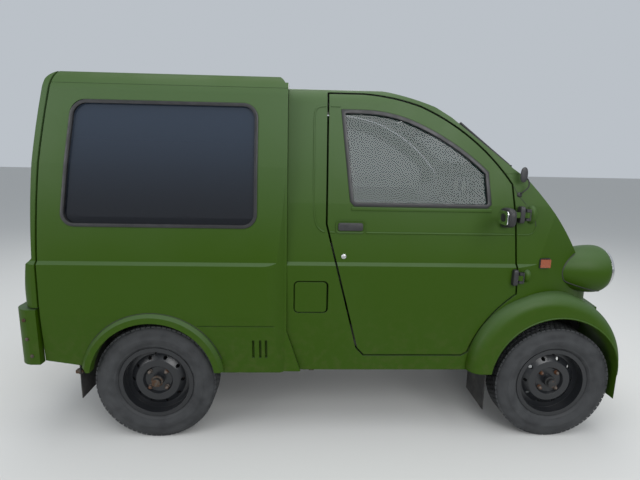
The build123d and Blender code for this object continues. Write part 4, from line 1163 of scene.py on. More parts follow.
@dataclass
class HeadLamp:
    """Pod, reflector, bulb, fluted glass and gasket of one headlamp."""

    axis: Flat = (0.470, 0.795)
    pod: Path = ((1.2978, 0.0), (1.2978, 0.0985), (1.2955, 0.1020), (1.2900, 0.1062), (1.2820, 0.1100),
                 (1.2720, 0.1125), (1.2600, 0.1137), (1.2450, 0.1138), (1.2250, 0.1128), (1.2050, 0.1106),
                 (1.1850, 0.1074), (1.1650, 0.1034), (1.1450, 0.0988), (1.1250, 0.0936), (1.1050, 0.0880),
                 (1.0850, 0.0820), (1.0650, 0.0755), (1.0500, 0.0700), (1.0500, 0.0))
    bowl: Path = ((1.3005, 0), (1.3005, 0.018), (1.3015, 0.045), (1.305, 0.070), (1.3095, 0.085),
                  (1.2985, 0.085), (1.2985, 0))
    bulb_stem: Bar = (1.3005, 1.314, 0.010, 0.009, 24)
    bulb_tip: float = 1.318
    flutes: range = range(-5, 6)
    flute_gap: float = 0.0145
    flute_reach: float = 0.080
    gasket_turns: int = 56
    gasket_front: float = 1.285
    gasket_step: float = 0.003
    gasket_steps: int = 78
    probe: float = 0.25

    def gasket(self, side: Side) -> None:
        """Lay black rubber where the pod leaves the body.

        Args:
            side: Side of the truck.
        """
        radii = self.pod[-2:0:-1]
        line = []
        for turn in range(self.gasket_turns):
            angle = math.tau * turn / self.gasket_turns
            away = Vector((0, math.cos(angle), math.sin(angle)))
            for step in range(self.gasket_steps):
                x = self.gasket_front - self.gasket_step * step
                start = Vector((x, side * self.axis[0], self.axis[1])) + away * self.probe
                gap = self.probe - between(radii, x)
                found = start - away * gap
                try:
                    panel, _ = touch((*NOSE, "front_wings", "front_bumper"), start, -away)
                except ValueError:
                    continue
                if (panel - start).length < gap:
                    break
            line.append(tuple(found))
        wire(f"pod_gasket_{side.word}", [*line, *line[:2]], 0.0032, Look.SEAL)

    def build(self, side: Side) -> None:
        """Make one lamp.

        Args:
            side: Side of the truck.
        """
        y, z = side * self.axis[0], self.axis[1]
        shell = Shape().lathe(self.pod, (0, y, z), steps=64)
        pod = shell.finish(f"lamp_pod_{side.word}", Look.BODY, smooth=50)
        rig.replaces(pod, "headlamp_pods")
        Shape().lathe(self.bowl, (0, y, z), steps=48).finish(f"lamp_reflector_{side.word}", Look.REFLECTOR)
        bulb = Shape().stack((0, y, z), (1, 0, 0), [self.bulb_stem])
        bulb.ball((self.bulb_tip, y, z), (0.013, 0.011, 0.011), 10).finish(f"lamp_bulb_{side.word}", Look.REFLECTOR)
        ribs = Shape()
        for across in (step * self.flute_gap for step in self.flutes):
            reach = math.sqrt(self.flute_reach ** 2 - across ** 2)
            starts = [(AHEAD, y + across, z + reach * part / 6) for part in range(-6, 7)]
            glass = [touch(("headlamp_lenses",), start, (-1, 0, 0))[0] for start in starts]
            ribs.bars([point - Vector((0.0012, 0, 0)) for point in glass], 0.0022)
        ribs.finish(f"lamp_flutes_{side.word}", Look.LAMP_GLASS, smooth=60)
        self.gasket(side)


@dataclass
class CabTrim:
    """Creases, seams, marker bezels and hinge bulges of the cab's front quarters, and the wiper."""

    lines: tuple[tuple[str, float, Look, Path], ...] = (
        ("nose_crease", 0.0038, Look.BODY,
         ((0.826, 0.973), (0.848, 0.973), (0.880, 0.973), (0.903, 0.985), (0.908, 1.010))),
        ("nose_seam", 0.0016, Look.SEAL,
         ((0.908, 1.012), (0.906, 1.040), (0.869, 1.095), (0.818, 1.151), (0.800, 1.185))))
    line_sink: float = 0.35
    marker: tuple[Flat, Flat] = ((0.9365, 0.8225), (0.9915, 0.8685))
    bulges: tuple[tuple[Flat, Point], ...] = (((0.8835, 1.064), (0.0235, 0.034, 0.042)),
                                              ((0.8795, 0.790), (0.0195, 0.026, 0.030)))
    bulge_sink: float = 0.004
    blade_y: float = -0.400
    blade_heights: tuple[float, ...] = (1.280, 1.330, 1.390, 1.450)
    blade_clip: float = 1.365
    pivot_z: float = 1.266

    def side_parts(self, side: Side) -> None:
        """Make one side's parts.

        Args:
            side: Side of the truck.
        """
        for name, radius, look, path in self.lines:
            wire(f"{name}_{side.word}", laid(NOSE, path, side, -radius * self.line_sink), radius, look)
        Seal(f"marker_bezel_{side.word}", "body", oblong(*self.marker),
             lambda x, z, out: laid(NOSE, [(x, z)], side, out)[0], 0.008, 0.0052, 0.006, 0.002, step=0.02,
             rounding=0.001).build()
        knobs = Shape()
        for (x, z), radii in self.bulges:
            point, _ = touch(NOSE, (x, side, z), (0, -side, 0))
            knobs.ball((x, point.y - side * self.bulge_sink, z), radii)
        knobs.finish(f"hinge_bulges_{side.word}", Look.BODY, smooth=60)

    def build(self) -> None:
        """Make both sides and the wiper."""
        both_sides(self.side_parts)
        y = self.blade_y
        blade = Shape().bars([screen_point(y, z, 0.005) for z in self.blade_heights], 0.0032)
        blade.rod(*(screen_point(y, self.blade_clip, out) for out in (0.004, 0.012)), 0.006, sides=12)
        blade.finish("wiper_blade", Look.SEAL, smooth=60)
        foot = Vector(screen_point(y, self.pivot_z))
        pivot = Shape().rod(foot - Vector((0, 0, 0.012)), foot + Vector((0.006, 0, 0.013)), 0.013, 0.011)
        pivot.soften(0.002, 2, 40).finish("wiper_pivot", Look.TRIM)


@dataclass
class Grille:
    """Black bars on the floors of the nose's slots and of the bumper's air slot."""

    rows: tuple[tuple[str, tuple[float, ...], float, float], ...] = (
        ("nose_panel", (0.632, 0.656, 0.680), 0.180, 0.0042),
        ("front_bumper", (0.3365, 0.345, 0.3535), 0.196, 0.0022))
    bends: int = 12
    proud: float = 0.4

    def build(self) -> None:
        """Make every bar."""
        bars = [(node, z, half, radius) for node, heights, half, radius in self.rows for z in heights]
        for index, (node, z, half, radius) in enumerate(bars):
            spots = [half * (2 * step / self.bends - 1) for step in range(self.bends + 1)]
            points = [(touch((node,), (AHEAD, y, z), (-1, 0, 0))[0].x + radius * self.proud, y, z) for y in spots]
            wire(f"grille_bar_{index + 1}", points, radius, Look.TRIM)


@dataclass
class Mirrors:
    """One door mirror: rounded housing with its stay and foot, and the glass."""

    low: Point = (0.698, 0.650, 1.025)
    high: Point = (0.738, 0.754, 1.105)
    stay: tuple[Point, Point] = ((0.768, 0.598, 1.050), (0.724, 0.672, 1.062))
    foot: tuple[Point, Point] = ((0.744, 0.577, 1.008), (0.788, 0.606, 1.084))
    pane_half: Flat = (0.040, 0.029)
    pane_gap: float = 0.0004

    def build(self, side: Side) -> None:
        """Make one mirror.

        Args:
            side: Side of the truck.
        """
        housing = Shape().pillow(self.low, self.high, 3.2, 12).rod(*self.stay, 0.0095, 0.0085)
        housing.pillow(*self.foot, 5, 8).turned(side.flip)
        case = housing.finish(f"mirror_case_{side.word}", Look.TRIM, side.door, 60)
        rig.replaces(case, f"mirror_{side.word}")
        x, y, z = self.low[0] + self.pane_gap, (self.low[1] + self.high[1]) / 2, (self.low[2] + self.high[2]) / 2
        wide, tall = self.pane_half
        corners = [(x, y + across, z + rise) for across, rise in oblong((-wide, -tall), (wide, tall))]
        pane = Shape().plate(corners, 0.014, 6, (0.008, 0, 0)).turned(side.flip)
        pane.finish(f"mirror_pane_{side.word}", Look.MIRROR_GLASS, side.door)


@dataclass
class Hinges:
    """Black brackets of one door's hinges, and their caps on the door."""

    pin: Flat = (0.846, 0.617)
    heights: Flat = (0.784, 1.066)
    knuckles: tuple[Bar, Bar] = ((-0.025, -0.013, 0.0096, 0.0096, 24), (0.013, 0.025, 0.0096, 0.0096, 24))
    pin_bar: Bar = (-0.0252, 0.0252, 0.004, 0.004, 24)

    def build(self, side: Side) -> None:
        """Make one side's brackets and caps.

        Args:
            side: Side of the truck.
        """
        x, y = self.pin
        shape, caps = Shape(), Shape()
        for middle in self.heights:
            shape.stack((x, y, middle), (0, 0, 1), [*self.knuckles, self.pin_bar])
            for low, high, *_ in self.knuckles:
                shape.block((x, y - 0.005, middle + low), (x + 0.014, y + 0.005, middle + high))
            shape.block((x + 0.008, y - 0.045, middle - 0.025), (x + 0.014, y + 0.006, middle + 0.025))
            caps.pillow((0.811, 0.588, middle - 0.037), (0.8345, 0.6245, middle + 0.037), 6, 8)
        piece = shape.soften(0.001, 1, 60).turned(side.flip).finish(f"hinge_brackets_{side.word}", Look.TRIM)
        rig.replaces(piece, "door_hinges")
        caps.turned(side.flip).finish(f"hinge_caps_{side.word}", Look.TRIM, side.door, 60)


@dataclass
class CornerMirror:
    """Small leaf-shaped mirror on a bent wire stay beside the windscreen's foot."""

    foot_at: Flat = (0.826, 1.150)
    head: Point = (0.826, -0.590, 1.238)
    half: Point = (0.016, 0.005, 0.033)

    def build(self) -> None:
        """Make the mirror, its stay and its foot."""
        x, z = self.foot_at
        foot, _ = touch(NOSE, (x, Side.RIGHT, z), (0, 1, 0))
        head, half = Vector(self.head), Vector(self.half)
        Shape().pillow(head - half, head + half, 2.4, 10).finish("corner_mirror", Look.TRIM, smooth=60)
        stay = [foot + Vector((0, 0.004, 0)), foot + Vector((0, -0.016, 0.008)),
                (x + 0.030, foot.y - 0.024, z + 0.036), (x + 0.022, foot.y - 0.022, z + 0.070),
                head + Vector((0.002, 0.002, -0.010)), head]
        wire("corner_mirror_stay", stay, 0.0028, Look.TRIM)
        Shape().ball(foot, (0.012, 0.006, 0.012), 8).finish("corner_mirror_foot", Look.TRIM, smooth=60)


@dataclass
class TailTrim:
    """Frames, bars and covers of the tail lamps, bumper and plate bolts, and the hatch's wiper, handle and lock."""

    lamp_at: Flat = (0.480, 0.540)
    lamp_half: Flat = (0.065, 0.035)
    frame_gap: float = 0.005
    bars: Flat = (-0.018, 0.026)
    covers: tuple[tuple[str, Look, float, float], ...] = (("turn", Look.AMBER, 0.0275, 0.064),
                                                          ("reverse", Look.LAMP_GLASS, -0.064, -0.0195))
    bolts: Path = ((-1.319, 0.583), (-1.314, 0.497), (-1.300, 0.419))
    bolt_face: float = 0.6395
    bolt: tuple[Bar, ...] = ((0, 0.004, 0.008, 0.0072, 18), (0, 0.0065, 0.0048, 0.0044, 6))
    plate_x: float = 1.393
    plate_bolts: Flat = (0.105, 0.515)
    plate_bolt: Bar = (-0.001, 0.0018, 0.0075, 0.0068, 18)
    wiper_root: Flat = (-0.18, 0.955)
    wiper_tip: Flat = (0.10, 1.075)
    wiper_hub: Bar = (-0.012, 0.004, 0.016, 0.013, 24)
    blade: tuple[float, ...] = (-0.10, 0.02, 0.14, 0.26)
    handle: tuple[Flat, Flat] = ((-0.075, 0.900), (0.075, 0.945))
    lock: Flat = (0.115, 0.922)
    lock_bars: tuple[Bar, ...] = ((-0.002, 0.006, 0.013, 0.0115, 24), (0, 0.0075, 0.007, 0.0065, 24))

    def lamp(self, side: Side) -> None:
        """Make one tail lamp's parts and the bolts beside it.

        Args:
            side: Side of the truck.
        """
        y, z = side * self.lamp_at[0], self.lamp_at[1]
        wide, tall = self.lamp_half
        far, top = wide + self.frame_gap, tall + self.frame_gap
        Seal(f"tail_lamp_frame_{side.word}", "body", oblong((y - far, z - top), (y + far, z + top)),
             rear_bumper_point, 0.010, 0.009, 0.0035, 0.002, Look.TRIM, rounding=0.0012).build()
        bars = Shape()
        for shift in self.bars:
            x, across, _ = rear_bumper_point(y + side * shift, z)
            bars.block((x - 0.002, across - 0.0015, z - tall), (x + 0.003, across + 0.0015, z + tall))
        bars.finish(f"tail_lamp_bars_{side.word}", Look.TRIM)
        for name, look, near, far in self.covers:
            x = rear_bumper_point(y + side * (near + far) / 2, z)[0]
            first, last = sorted((y + side * near, y + side * far))
            cover = Shape().block((x - 0.0022, first, z - tall + 0.001), (x + 0.004, last, z + tall - 0.001))
            cover.soften(0.001, 1).finish(f"tail_{name}_cover_{side.word}", look)
        bolts = Shape()
        for x, height in self.bolts:
            bolts.stack((x, side * self.bolt_face, height), (0, side, 0), self.bolt)
        bolts.finish(f"bumper_bolts_{side.word}", Look.RUST)

    def build(self) -> None:
        """Make everything on the tail."""
        both_sides(self.lamp)
        bolts = Shape()
        y, z = self.plate_bolts
        for way in (-1, 1):
            for across in (-y, y):
                bolts.stack((way * self.plate_x, across, z), (way, 0, 0), [self.plate_bolt])
        bolts.finish("plate_bolts", Look.BRIGHT)
        root, tip = tail_point(*self.wiper_root, 0.010), tail_point(*self.wiper_tip, 0.009)
        wiper = Shape().stack(root, (-1, 0, 0), [self.wiper_hub]).rod(root, tip, 0.005, 0.004, 12)
        wiper.bars([tail_point(y, self.wiper_tip[1] + y * 0.10, 0.004) for y in self.blade], 0.0035)
        wiper.finish("hatch_wiper", Look.TRIM, "hatch", 60)
        corners = [tail_point(y, z, -0.003) for y, z in oblong(*self.handle)]
        handle = Shape().plate(corners, 0.012, 5, (-0.016, 0, 0)).soften(0.004, 3, 40)
        handle.finish("hatch_handle", Look.TRIM, "hatch")
        lock = Shape().stack(tail_point(*self.lock), (-1, 0, 0), self.lock_bars)
        lock.finish("hatch_lock", Look.BRIGHT, "hatch")


@dataclass
class Underbody:
    """Coil springs with their plates, exhaust clamps, flap brackets and tank straps."""

    strut: Flat = (1.053, 0.423)
    coil_radius: float = 0.0330
    coil_heights: Flat = (0.425, 0.555)
    coils: int = 5
    coil_steps: int = 16
    plate_gap: float = 0.005
    plate_thick: float = 0.004
    plate_radius: float = 0.040
    clamps: Flat = (-0.655, -0.375)
    clamp_ring: Path = ((-0.007, 0.0655), (-0.007, 0.0685), (0.007, 0.0685), (0.007, 0.0655), (-0.007, 0.0655))
    muffler: Flat = (0.170, 0.290)
    flap_block: tuple[Point, Point] = ((-1.140, 0.585, 0.318), (-1.108, 0.606, 0.334))
    flap_bolt: tuple[Point, Point] = ((-1.126, 0.595, 0.312), (-1.126, 0.595, 0.340))
    straps: Flat = (-0.300, -0.080)
    tank: tuple[Flat, Flat] = ((-0.540, 0.300), (-0.290, 0.435))
    strap_half: float = 0.012
    strap_thick: float = 0.0025

    def coil(self, side: Side) -> None:
        """Wind one spring and close it with its plates.

        Args:
            side: Side of the truck.
        """
        x, y = self.strut[0], side * self.strut[1]
        low, high = self.coil_heights
        steps = self.coils * self.coil_steps
        points = [(*around((x, y), self.coil_radius, [math.tau * step / self.coil_steps])[0],
                   low + (high - low) * step / steps) for step in range(steps + 1)]
        wire(f"coil_spring_{side.word}", points, 0.0045, Look.RUST)
        plates = Shape()
        for z in (low - self.plate_gap - self.plate_thick, high + self.plate_gap):
            plates.rod((x, y, z), (x, y, z + self.plate_thick), self.plate_radius)
        plates.soften(0.001, 1).finish(f"spring_plates_{side.word}", Look.CHASSIS)

    def build(self) -> None:
        """Make everything under the floor."""
        both_sides(self.coil)
        clamps = Shape()
        y, z = self.muffler
        for x in self.clamps:
            clamps.lathe([(x + along, radius) for along, radius in self.clamp_ring], (0, y, z), steps=48)
            clamps.block((x - 0.007, y - 0.006, z + 0.0655), (x + 0.007, y + 0.006, z + 0.080))
        clamps.finish("exhaust_clamps", Look.RUST)
        brackets = Shape()
        for side in Side:
            (x0, near, low), (x1, far, high) = self.flap_block
            near, far = sorted((side * near, side * far))
            brackets.block((x0, near, low), (x1, far, high))
            brackets.rod(*((x, side * y, z) for x, y, z in self.flap_bolt), 0.006, sides=6)
        brackets.soften(0.0015, 1).finish("flap_brackets", Look.RUST)
        low, high = (Vector(corner) for corner in self.tank)
        thick = Vector((self.strap_thick, self.strap_thick))
        for index, x in enumerate(self.straps):
            Seal(f"tank_strap_{index + 1}", "body", oblong(low - thick, high + thick),
                 lambda y, z, out, x=x: (x + out, y, z), 0.010, self.strap_thick + 0.0005, self.strap_half,
                 self.strap_half, Look.RUST, rounding=0.0004).build()


@dataclass
class TyreSet:
    """Four tyres with side-wall rings and tread blocks."""

    side_wall: Path = ((0.0515, 0.1535), (0.0515, 0.169), (0.0575, 0.173), (0.0625, 0.179), (0.064, 0.181),
                       (0.064, 0.184), (0.065, 0.187), (0.0700, 0.196), (0.0725, 0.206), (0.073, 0.214),
                       (0.073, 0.2155), (0.0718, 0.217), (0.0712, 0.227), (0.069, 0.237), (0.0695, 0.239),
                       (0.0645, 0.250), (0.0625, 0.2575), (0.0565, 0.2630), (0.051, 0.2665))
    outer: float = 0.271
    carcass: float = 0.2665
    rows: tuple[float, ...] = (-0.046, -0.023, 0.0, 0.023, 0.046)
    pitches: int = 72
    block_share: float = 0.42
    block_half: float = 0.0100
    smooth: float = 40.0

    def carcass_shape(self) -> Shape:
        """Turned body of the tyre about the origin, its axis along Y."""
        profile = [(-y, radius) for y, radius in self.side_wall] + [(0, self.carcass), *reversed(self.side_wall)]
        return Shape().lathe([*profile, profile[0]], axis=(0, 1, 0), steps=96)

    def tread_shape(self) -> Shape:
        """Ring of tread blocks about the origin.

        Returns:
            The shape.
        """
        step = math.tau / self.pitches
        turns = [Matrix.Rotation(step * (pitch + 0.5 * (row % 2)), 4, "Y") @ Matrix.Translation((0, offset, 0))
                 for row, offset in enumerate(self.rows) for pitch in range(self.pitches)]
        length, half = self.outer * step * self.block_share, self.block_half
        block = Shape().block((-length, -half, self.carcass - 0.006), (length, half, self.outer))
        return block.soften(0.0012, 1, 50).copies(turns)

    def build(self) -> None:
        """Make every tyre in its place."""
        carcass = self.carcass_shape()
        pour(self.tread_shape().mesh, carcass.mesh)
        model = bpy.data.meshes.new("tyre_model")
        bmesh.ops.recalc_face_normals(carcass.mesh, faces=carcass.mesh.faces)
        carcass.mesh.to_mesh(model)
        carcass.mesh.free()
        model.shade_smooth()
        model.set_sharp_from_angle(angle=math.radians(self.smooth))
        for place in WHEEL_PLACES:
            low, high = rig.box(f"tyre_{place}")
            data = model.copy()
            data.transform(Matrix.Translation((low + high) / 2))
            piece = place_piece(f"road_tyre_{place}", data, Look.TYRE, f"wheel_{place}")
            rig.replaces(piece, f"tyre_{place}")
        bpy.data.meshes.remove(model)


@dataclass
class WheelTrim:
    """Lug nuts, hub cap and valve of every wheel, and the rear drums' rims."""

    nut: tuple[Bar, ...] = ((0.018, 0.024, 0.0115, 0.0105, 24), (0.020, 0.033, 0.0095, 0.0095, 6),
                            (0.032, 0.039, 0.0088, 0.004, 24))
    nut_circle: float = 0.053
    nut_count: int = 4
    cap: tuple[Bar, ...] = ((0.058, 0.0635, 0.0192, 0.0175, 24), (0.040, 0.0475, 0.0275, 0.0262, 36),
                            (0.062, 0.0645, 0.0085, 0.0078, 12))
    valve: tuple[Point, Point] = ((0, 0.036, 0.139), (0, 0.062, 0.135))
    drum: Path = ((-0.006, 0.102), (-0.006, 0.1215), (0.0064, 0.1215), (0.0064, 0.1195), (-0.003, 0.1195),
                  (-0.003, 0.102), (-0.006, 0.102))

    def build(self, place: str) -> None:
        """Dress the wheel at a place.

        Args:
            place: Name of the wheel's place.
        """
        low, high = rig.box(f"tyre_{place}")
        rear, side = "rear" in place, Side.RIGHT if place.endswith("right") else Side.LEFT
        body = f"wheel_{place}"
        home = Matrix.Translation((low + high) / 2) @ side.flip
        nuts = Shape().stack((0, 0, self.nut_circle), (0, 1, 0), self.nut)
        turns = [home @ Matrix.Rotation(math.tau * (step + 0.5) / self.nut_count, 4, "Y")
                 for step in range(self.nut_count)]
        nuts.soften(0.001, 1).copies(turns).finish(f"lug_nuts_{place}", Look.EXHAUST, body)
        if rear:
            rim = Shape().lathe(self.drum, axis=(0, 1, 0))
            rim.turned(home).finish(f"drum_rim_{place}", Look.CHASSIS, body, 40)
        cap = Shape().stack((0, 0, 0), (0, 1, 0), self.cap)
        cap.soften(0.001, 2, 40).turned(home).finish(f"hub_cap_{place}", Look.RUST if rear else Look.CHASSIS, body)
        valve = Shape().rod(*self.valve, 0.0045, 0.0035, 12)
        valve.turned(home).finish(f"valve_{place}", Look.TRIM, body)


@dataclass
class DoorTrim:
    """Handle, lock and window ledge of a door."""

    handle_low: Flat = (0.015, 0.970)
    handle_high: Flat = (0.147, 1.028)
    flap_rim: float = 0.0115
    lock: Flat = (0.054, 0.868)
    lock_bars: tuple[Bar, ...] = ((0, 0.005, 0.0125, 0.011, 24), (0, 0.0065, 0.0075, 0.007, 24))
    ledge: tuple[Point, Point] = ((0.082, 0, 1.070), (0.704, 1, 1.086))
    ledge_out: float = 0.004

    def build(self, side: Side) -> None:
        """Dress one door.

        Args:
            side: Side of the truck.
        """
        (x0, z0), (x1, z1) = self.handle_low, self.handle_high
        middle, tall, rim = (z0 + z1) / 2, (z1 - z0) / 2, self.flap_rim
        tilt = math.atan2(CAB_SKIN.half(z0) - CAB_SKIN.half(z1), z1 - z0)
        lean = Matrix.Translation(CAB_SKIN.point(0, middle, side, 0)) @ Matrix.Rotation(side * tilt, 4, "X")
        surround = Shape()
        corners = [(x, -0.002, z) for x, z in oblong((x0, -tall), (x1, tall))]
        surround.plate(corners, 0.018, 6, (0, 0.007, 0))
        front = max(surround.mesh.faces, key=lambda item: item.calc_center_median().y)
        bmesh.ops.inset_region(surround.mesh, faces=[front], thickness=0.009, use_even_offset=True)
        bmesh.ops.translate(surround.mesh, vec=(0, -0.006, 0), verts=list(front.verts))
        surround.soften(0.0015, 2, 40).turned(lean @ side.flip)
        surround.finish(f"handle_surround_{side.word}", Look.BODY, side.door)
        corners = [(x, 0, z) for x, z in oblong((x0 + rim, rim - tall), (x1 - rim, tall - rim))]
        flap = Shape().plate(corners, 0.009, 5, (0, 0.0075, 0)).soften(0.0025, 3, 40)
        flap.turned(lean @ side.flip).finish(f"handle_flap_{side.word}", Look.TRIM, side.door)
        lock = Shape().stack(CAB_SKIN.point(*self.lock, side, -0.002), (0, side, 0), self.lock_bars)
        lock.soften(0.0008, 1).finish(f"door_lock_{side.word}", Look.BRIGHT, side.door)
        ledge = Shape().block(*self.ledge)
        for vert in ledge.mesh.verts:
            out = self.ledge_out if vert.co.y > 0.5 else -self.ledge_out
            vert.co = Vector(CAB_SKIN.point(vert.co.x, vert.co.z, side, out))
        ledge.soften(0.003, 3).finish(f"window_ledge_{side.word}", Look.BODY, side.door)


@dataclass
class PressedLines:
    """Raised creases that frame the cab window and run along the door, and the lines round the wheel arches."""

    radius: float = 0.0045
    sunk: float = -0.0010
    creases: tuple[tuple[str, Path], ...] = (
        ("pillar_crease", ((-0.033, 1.512), (-0.062, 1.512), (-0.083, 1.494), (-0.083, 1.40), (-0.083, 1.115),
                           (-0.076, 1.02), (-0.056, 0.981), (-0.034, 0.975))),
        ("door_crease_top", ((-0.012, 1.513), (0.008, 1.514), (0.028, 1.512))),
        ("door_crease", ((0.152, 0.973), (0.4, 0.973), (0.6, 0.973), (0.812, 0.973))),
        ("door_crease_back", ((-0.010, 0.974), (0.0, 0.9735), (0.012, 0.973))))
    lip: tuple[Flat, float, range] = ((1.045, 0.300), 0.3065, range(4, 172, 6))
    flare: tuple[Flat, float, range] = ((-0.787, 0.296), 0.3185, range(18, 163, 6))

    def arch(self, node: str, line: tuple[Flat, float, range], side: Side, out: float) -> list[Point]:
        """Lay a wheel arch's line, a circle's centre, radius and degrees, on a node."""
        centre, radius, degrees = line
        return laid((node,), around(centre, radius, [math.radians(degree) for degree in degrees]), side, out)

    def build(self, side: Side) -> None:
        """Make one side's lines.

        Args:
            side: Side of the truck.
        """
        for name, path in self.creases:
            points = [CAB_SKIN.point(x, z, side, self.sunk) for x, z in path]
            body = side.door if name.startswith("door") else "body"
            wire(f"{name}_{side.word}", points, self.radius, Look.BODY, body)
        lip = self.arch("front_wings", self.lip, side, -0.0012)
        wire(f"wing_lip_{side.word}", lip, 0.0036, Look.BODY)
        seam = self.arch(f"cargo_side_{side.word}", self.flare, side, -0.0002)
        wire(f"flare_seam_{side.word}", seam, 0.0013, Look.SEAL)


@dataclass
class Cushion:
    """Stuffed block of a seat, with a crown and sewn channels."""

    low: Point
    high: Point
    crown: Point
    channels: tuple[tuple[int, float], ...]
    power: float = 8.0
    cells: int = 30
    groove: float = 0.006
    groove_width: float = 0.10
    face_from: float = 0.6

    def add(self, target: bmesh.types.BMesh, side: Side) -> None:
        """Add the stuffed block of one side's seat to a mesh.

        Args:
            target: Mesh to add to.
            side: Side of the truck.
        """
        part = rounded_cube(self.power, self.cells)
        low, high, crown = Vector(self.low), Vector(self.high), Vector(self.crown)
        middle, half = (low + high) / 2, (high - low) / 2
        for vert in part.verts:
            unit = vert.co.copy()
            dent = sum(math.exp(-((unit[axis] - place) / self.groove_width) ** 2) for axis, place in self.channels)
            spot = Vector()
            for axis in range(3):
                first, second = (1 - unit[other] ** 2 for other in range(3) if other != axis)
                swell = crown[axis] * first * second
                if crown[axis] and abs(unit[axis]) > self.face_from:
                    swell -= self.groove * dent * (1 - unit[(axis + 1) % 3] ** 6)
                spot[axis] = unit[axis] * (half[axis] - crown[axis] + max(swell, -crown[axis]))
            spot += middle
            vert.co = Vector((spot.x, side * spot.y, spot.z))
        bmesh.ops.recalc_face_normals(part, faces=part.faces)
        pour(part, target)


@dataclass
class Seats:
    """Both seats: padded cushions and backs, and the cushions' piping."""

    base: Cushion = field(default_factory=lambda: Cushion(
        (-0.070, 0.060, 0.604), (0.340, 0.510, 0.735), (0.0, 0.0, 0.016), ((1, -0.55), (1, 0.55), (0, 0.1))))
    back: Cushion = field(default_factory=lambda: Cushion(
        (-0.176, 0.064, 0.640), (-0.100, 0.506, 1.072), (0.012, 0.0, 0.0), ((1, -0.55), (1, 0.55), (2, 0.35))))
    welt_steps: int = 60
    welt_in: float = 0.006
    welt_drop: float = 0.030
    welt_power: float = 0.25

    def build(self) -> None:
        """Make both nodes again as stuffed seats."""
        for name, model, node in (("padded_cushions", self.base, "seat_cushions"),
                                  ("padded_backs", self.back, "seat_backs")):
            mesh = bmesh.new()
            for side in Side:
                model.add(mesh, side)
            data = bpy.data.meshes.new(name)
            mesh.to_mesh(data)
            mesh.free()
            data.shade_smooth()
            piece = place_piece(name, data, Look.CLOTH, "body")
            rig.padded(piece, fill=0.6)
            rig.replaces(piece, node)
        both_sides(self.piping)

    def piping(self, side: Side) -> None:
        """Sew a welt round one cushion.

        Args:
            side: Side of the truck.
        """
        low, high = Vector(self.base.low), Vector(self.base.high)
        middle, half = (low + high) / 2, (high - low) / 2
        points = []
        for step in range(self.welt_steps + 2):
            angle = math.tau * step / self.welt_steps
            x, y = (math.copysign(abs(part) ** self.welt_power, part) * (reach - self.welt_in)
                    for part, reach in ((math.cos(angle), half.x), (math.sin(angle), half.y)))
            points.append((middle.x + x, side * (middle.y + y), high.z - self.welt_drop))
        wire(f"seat_piping_{side.word}", points, 0.0035, Look.CABIN)


@dataclass
class SteeringTrim:
    """Pad of the steering wheel, column shroud and stalks."""

    centre: Point = (0.514, -0.265, 1.003)
    tilt: float = math.radians(40)
    pad: Path = ((-0.019, 0.0), (-0.019, 0.030), (-0.016, 0.041), (-0.009, 0.047), (0.004, 0.049), (0.012, 0.045),
                 (0.012, 0.0))
    shroud: Bar = (0.045, 0.170, 0.030, 0.038, 24)
    stalk_root: float = 0.075
    stalk: Point = (0.004, 0.125, 0.012)

    def build(self) -> None:
        """Make the parts round the steering wheel."""
        axis = Vector((math.cos(self.tilt), 0, -math.sin(self.tilt)))
        upright = Vector((math.sin(self.tilt), 0, math.cos(self.tilt)))
        centre = Vector(self.centre)
        Shape().lathe(self.pad, centre, axis, upright, 40).finish("steering_pad", Look.CABIN, "steering_wheel")
        shroud = Shape().stack(centre, axis, [self.shroud])
        shroud.soften(0.006, 3, 40).finish("column_shroud", Look.CABIN)
        stalks = Shape()
        root = centre + axis * self.stalk_root
        x, y, z = self.stalk
        for side in Side:
            tip = root + Vector((x, side * y, z))
            stalks.rod(root, tip, 0.0045, 0.0052, 14).ball(tip, (0.007, 0.014, 0.007), 8)
        stalks.finish("column_stalks", Look.TRIM)


